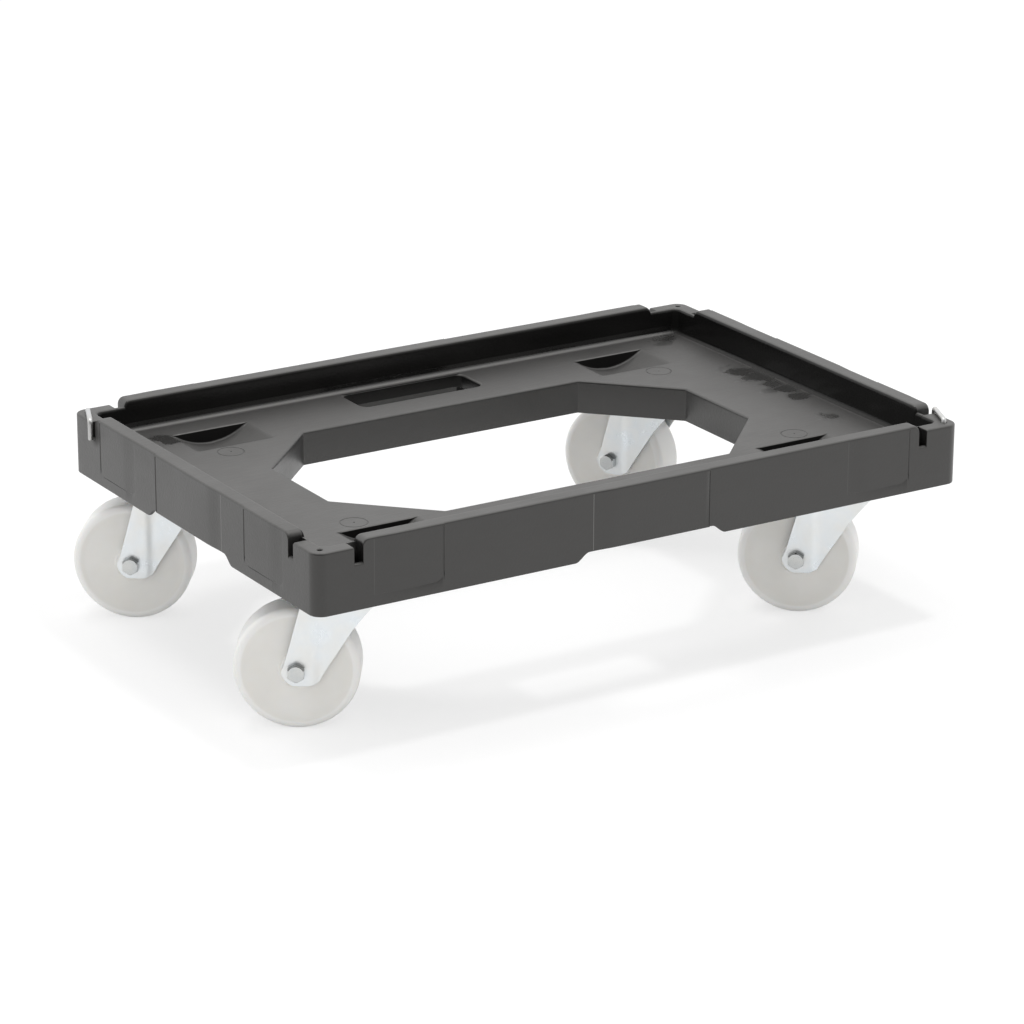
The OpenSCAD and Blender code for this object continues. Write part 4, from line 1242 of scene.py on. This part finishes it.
    def leg(self, side: float) -> Piece:
        """One pressed leg of the fork, bent over at its top into the crown.

        A grid over height and the way from trailing to leading edge. The edges follow the leg's outline: round
        below the axle, then straight, then flaring to the crown, each line given as heights over the axle and
        places ahead of it. Ahead of the bend the sheet steps inwards by a smooth ramp, and above the shoulder it
        turns inwards on a quarter circle.
        """
        low = np.radians(np.array([14, 24, 34, 45, 56, 68, 80, 90]))
        top = self.crown_z - self.wheel_radius - self.leg_bend
        z_low = -self.leg_foot * np.cos(low)
        z_up = np.concatenate([np.linspace(3, 34, 9), np.linspace(39, top, 5)])
        round_foot = -self.leg_foot * np.sin(low) + 0.8 * np.sin(2 * low)
        back = np.concatenate([round_foot, np.interp(z_up, *self.back_line)])
        front = np.concatenate([np.interp(z_low, *self.foot_line), np.interp(z_up, *self.front_line)])
        lead = back[:, None] + (front - back)[:, None] * np.linspace(0, 1, 25)[None]
        press = self.joggle * ease_up(lead, self.bend - 1.0, self.bend + 5.0)

        def layer(thick: float) -> Array:
            """The inner or outer face, by its height over the inner one."""
            y, radius = self.leg_inner + thick - press, self.leg_bend - (self.sheet - thick)
            last, turned = y[-1], [(1 - math.cos(q), math.sin(q)) for q in np.radians(np.linspace(15, 90, 6))]
            rows = [(lead[-1], last - radius * inwards, top + radius * up) for inwards, up in turned]
            rows.append((lead[-1], last - radius - 6.0, top + radius))
            bent = np.stack([np.stack(np.broadcast_arrays(*row), -1) for row in rows])
            upright = np.concatenate([z_low, z_up])[:, None]
            return np.concatenate([np.stack(np.broadcast_arrays(lead, y, upright), -1), bent])

        loop = np.concatenate([layer(0.0), layer(self.sheet)[:, ::-1]], 1)
        loop = loop * np.array([-1, side, 1]) + np.array([self.trail, 0, self.wheel_radius])
        skin = Skin()
        ring = skin.grid(loop.transpose(1, 0, 2))
        for end in (0, -1):
            near, far = ring[:25, end], ring[:-26:-1, end]
            skin.faces.append(np.stack([near[:-1], near[1:], far[1:], far[:-1]], 1))
        made = skin.build(f"fork_{self.name}_leg", 40, self.place())
        soften(made, self.edge_round)
        return made

    def crown(self) -> Piece:
        """The fork's crown: a disc with the lower ball race pressed up round the kingpin."""
        z, r, t, (race_r, race_z, ball) = self.crown_z, self.crown_radius, self.sheet, self.race
        under_balls = np.radians(np.linspace(327, 213, 9))
        groove = [(race_r + ball * math.cos(q), race_z + ball * math.sin(q)) for q in under_balls]
        profile = [(self.bore, z - t), (r - 0.8, z - t), (r - 0.2, z - t + 0.25), (r, z - t + 0.9), (r, z - 0.9),
                   (r - 0.25, z - 0.25), (r - 0.9, z), (31.6, z), (31, z + 0.5), (31, z + 2.4), (30.7, z + 2.8),
                   *groove, (23.3, z + 2.8), (23, z + 2.4), (23, z), (self.bore, z)]
        disc = solid_of_turning(profile).build(f"fork_{self.name}_crown", 30, self.place())
        web = Skin()
        for sign in (-1, 1):
            outline = Outline.box((self.web_at[0], sign * self.web_at[1]), *self.web)
            ring = web.grid(outline.wall([(-0.4, z - t), (0, z - t + 0.4), (0, z - 0.4), (-0.4, z)]))
            web.fill(ring[:, 0])
            web.fill(ring[:, -1])
        return join(disc, web.build("web", 30, self.place()))

    def build(self, finishes: Finishes) -> None:
        """Makes and dresses the caster's pieces and gives the solids that stay their finishes."""
        name, swivel, wheel = self.name, f"swivel_{self.name}", f"wheel_{self.name}"
        dress(self.wheel(), finishes.nylon, wheel, wheel)
        fork = join(self.leg(1), self.leg(-1), self.crown())
        fork.name = f"fork_{name}_pressing"
        dress(fork, finishes.zinc, swivel, f"fork_{name}")
        dress(self.bolt(), finishes.bolt, swivel, f"axle_bolt_{name}")
        nut = self.hexagon(f"axle_nut_{name}_hex", self.nut_height, self.nut_bore, -1)
        dress(nut, finishes.bolt, swivel, f"axle_nut_{name}")
        coat(f"plate_{name}", finishes.zinc)
        coat(f"seal_{name}", finishes.seal)
        for node in ("ball_cage", "kingpin", "axle_sleeve"):
            coat(f"{node}_{name}", finishes.bolt)
        for k in range(1, 5):
            coat(f"screw_{name}_{k}", finishes.bolt)


def soften(piece: Piece, width: float) -> None:
    """Rounds a piece's sharp edges for good, by width in millimetres."""
    bevel = piece.modifiers.new("edges", "BEVEL")
    bevel.width, bevel.segments, bevel.limit_method = width * MM, 2, "ANGLE"
    bevel.angle_limit = math.radians(50)
    keep_shape(piece)


# Coupling hooks


@dataclass
class WireHook:
    """A coupling hook of bent wire, built for the left back corner and turned half a turn for the other."""

    name: str
    half_turn: bool
    pivot: Span = (-295.5, 195.5)
    leg: Span = (-307.4, 167.0)
    wire: float = 2.1
    bend: float = 3.0
    arm_z: float = 173.8
    leg_drop: float = 16.8
    foot_z: float = 136.9
    foot_radius: float = 3.0

    def build(self, finishes: Finishes) -> None:
        """Makes and dresses the hook: a circle carried along leg, bend, arm, bend and free leg, with an upset foot."""
        across = np.array(self.leg) - np.array(self.pivot)
        length = float(np.linalg.norm(across))
        turn, a = quarter_turn(9)[1:], full_turn(24)
        up, b, foot, end = self.arm_z, self.bend, self.foot_z, self.arm_z - self.leg_drop
        path = np.concatenate([
            np.array([(0, foot), (0, foot + 1.5), (0, foot + 1.6), (0, 150.0), (0, up - b)]),
            np.stack([b - b * np.cos(turn), up - b + b * np.sin(turn)], 1),
            np.stack([np.linspace(b, length - b, 6)[1:], np.full(5, up)], 1),
            np.stack([length - b + b * np.sin(turn), up - b + b * np.cos(turn)], 1),
            np.array([(length, up - b - 5), (length, end + 1.0), (length, end + 0.35), (length, end)])])
        radius = np.full(len(path), self.wire)
        radius[:2], radius[-2:] = self.foot_radius, (self.wire - 0.25, self.wire - 0.9)
        chord = np.gradient(path, axis=0)
        chord /= np.linalg.norm(chord, axis=1)[:, None]
        side = np.stack([chord[:, 1], -chord[:, 0]], 1)
        flat = path[None] + side[None] * (radius[None] * np.cos(a)[:, None])[..., None]
        skin = Skin()
        ring = skin.grid(np.stack([flat[..., 0], radius[None] * np.sin(a)[:, None], flat[..., 1]], -1))
        skin.fan(ring[:, 0], (0, 0, foot))
        skin.fan(ring[:, -1], (length, 0, end))
        place = Matrix.Translation((*self.pivot, 0)) @ Matrix.Rotation(math.atan2(across[1], across[0]), 4, "Z")
        if self.half_turn:
            place = Matrix.Rotation(math.pi, 4, "Z") @ place
        made = skin.build(f"hook_{self.name}_wire", 50, place)
        dress(made, finishes.wire, f"hook_{self.name}", f"hook_{self.name}")
        coat(f"hook_collar_{self.name}", finishes.bolt)


# The studio


@dataclass
class Studio:
    """A pale floor, soft lamps and the camera at the photograph's place."""

    eye: tuple[float, float, float] = (-1.72653, -2.75421, 1.23795)
    yaw: float = -0.5593486
    pitch: float = 0.3399749
    roll: float = 0.0041868
    focal: float = 4133.65
    image: float = 1024.0
    sensor: float = 36.0
    clip: Span = (0.1, 60)
    sky: float = 0.9
    gloss: Span = (0.3, 1.5)
    ahead: tuple[float, float, float] = (0.53, 0.85, 0.3)
    floor_half: float = 9000.0
    floor_waves: float = 0.6
    floor_lit: tuple[Colour, Colour] = ((0.79, 0.79, 0.79), (0.81, 0.81, 0.81))
    floor_seen: Colour = (0.42, 0.42, 0.42)
    floor_lift: Span = (0.6, 0.25)
    lamps: tuple[tuple, ...] = (("key_lamp", (28, -17.5, 149), 3.0, 0.35, 18),
                                ("back_lamp", (-22, 42, 149), 3.2, 0.9, 15))

    def camera(self) -> None:
        """Places the camera: it looks along the yawed and pitched axis, turned by the small roll."""
        cy, sy, cp, sp = math.cos(self.yaw), math.sin(self.yaw), math.cos(self.pitch), math.sin(self.pitch)
        ahead, right = Vector((-sy * cp, cy * cp, -sp)), Vector((cy, sy, 0))
        up = right.cross(ahead)
        cr, sr = math.cos(self.roll), math.sin(self.roll)
        x, y = cr * right + sr * up, cr * up - sr * right
        data = bpy.data.cameras.new("camera")
        data.sensor_width = self.sensor
        data.lens = self.focal / self.image * data.sensor_width
        data.clip_start, data.clip_end = self.clip
        made = stand("camera", data)
        made.matrix_world = Matrix.Translation(self.eye) @ Matrix((x, y, -ahead)).transposed().to_4x4()
        bpy.context.scene.camera = made

    def lamp(self, name: str, toward: tuple[float, float, float], distance: float, size: float, watts: float) -> None:
        """A square soft lamp that stands in a direction from the dolly and faces it."""
        data = bpy.data.lights.new(name, "AREA")
        data.energy, data.size = watts, size
        made = stand(name, data)
        way = Vector(toward).normalized()
        made.location = way * distance
        made.rotation_mode = "QUATERNION"
        made.rotation_quaternion = (-way).to_track_quat("-Z", "Y")

    def floor(self) -> None:
        """A wide pale floor; what the camera sees of it is lifted a little, so that only shadows fall below white."""
        skin, ends = Skin(), (-self.floor_half, self.floor_half)
        skin.grid(np.array([[(x, y, 0) for y in ends] for x in ends]), wrap_u=False)
        made = skin.build("studio_floor")
        n = Surface("studio_floor")
        ray = n.new("ShaderNodeLightPath").outputs
        tone = n.blend(n.pattern(Grain.MOTTLE, self.floor_waves), *self.floor_lit)
        tone = n.blend(ray["Is Camera Ray"], tone, self.floor_seen)
        n.finish(Base_Color=tone, Roughness=0.8, Specular_IOR_Level=0.0)
        lifts = [n.math("MULTIPLY", ray[f"Is {kind} Ray"], share)
                 for kind, share in zip(("Camera", "Glossy"), self.floor_lift)]
        lift = n.new("ShaderNodeEmission", {"Strength": n.math("ADD", *lifts)}).outputs["Emission"]
        both = n.new("ShaderNodeAddShader", {0: n.shader.outputs["BSDF"], 1: lift}).outputs["Shader"]
        n.feed(n.tree.nodes["Material Output"].inputs["Surface"], both)
        made.data.materials.append(n.material)

    def world(self) -> None:
        """White surroundings, full strength to the camera; in reflections the side in front of the dolly is dimmer."""
        world = bpy.data.worlds.new("white_room")
        world.use_nodes = True
        n = Nodes(world.node_tree)
        ray = n.new("ShaderNodeLightPath").outputs
        way = {0: n.new("ShaderNodeTexCoord").outputs["Generated"], 1: self.ahead}
        facing = n.new("ShaderNodeVectorMath", way, operation="DOT_PRODUCT").outputs["Value"]
        mirrored = n.math("MAXIMUM", ray["Is Glossy Ray"], ray["Is Transmission Ray"])
        level = n.mix(mirrored, self.sky, n.soft_step(facing, -0.7, 0.2, *self.gloss))
        back = n.tree.nodes["Background"].inputs
        n.feed(back["Color"], (1.0, 1.0, 1.0))
        n.feed(back["Strength"], n.mix(ray["Is Camera Ray"], level, 1.0))
        bpy.context.scene.world = world

    def build(self) -> None:
        """Sets up the whole studio."""
        self.camera()
        self.floor()
        self.world()
        for lamp in self.lamps:
            self.lamp(*lamp)
        bpy.context.scene.view_settings.view_transform = "Standard"


def main() -> None:
    """Builds the dolly and its studio in order."""
    logging.basicConfig(level=logging.INFO, format="%(name)s: %(message)s")
    Studio().build()
    finishes = Finishes()
    tray = TrayFrame()
    tray.build(finishes)
    for name, sx, sy, yaw in (("fl", -1, -1, 146.5), ("fr", 1, -1, 139.5), ("bl", -1, 1, 143.0), ("br", 1, 1, 118.0)):
        Caster(name, sx * tray.swivel[0], sy * tray.swivel[1], yaw).build(finishes)
    for name, half_turn in (("left", False), ("right", True)):
        WireHook(name, half_turn).build(finishes)


if __name__ == "__main__":
    main()
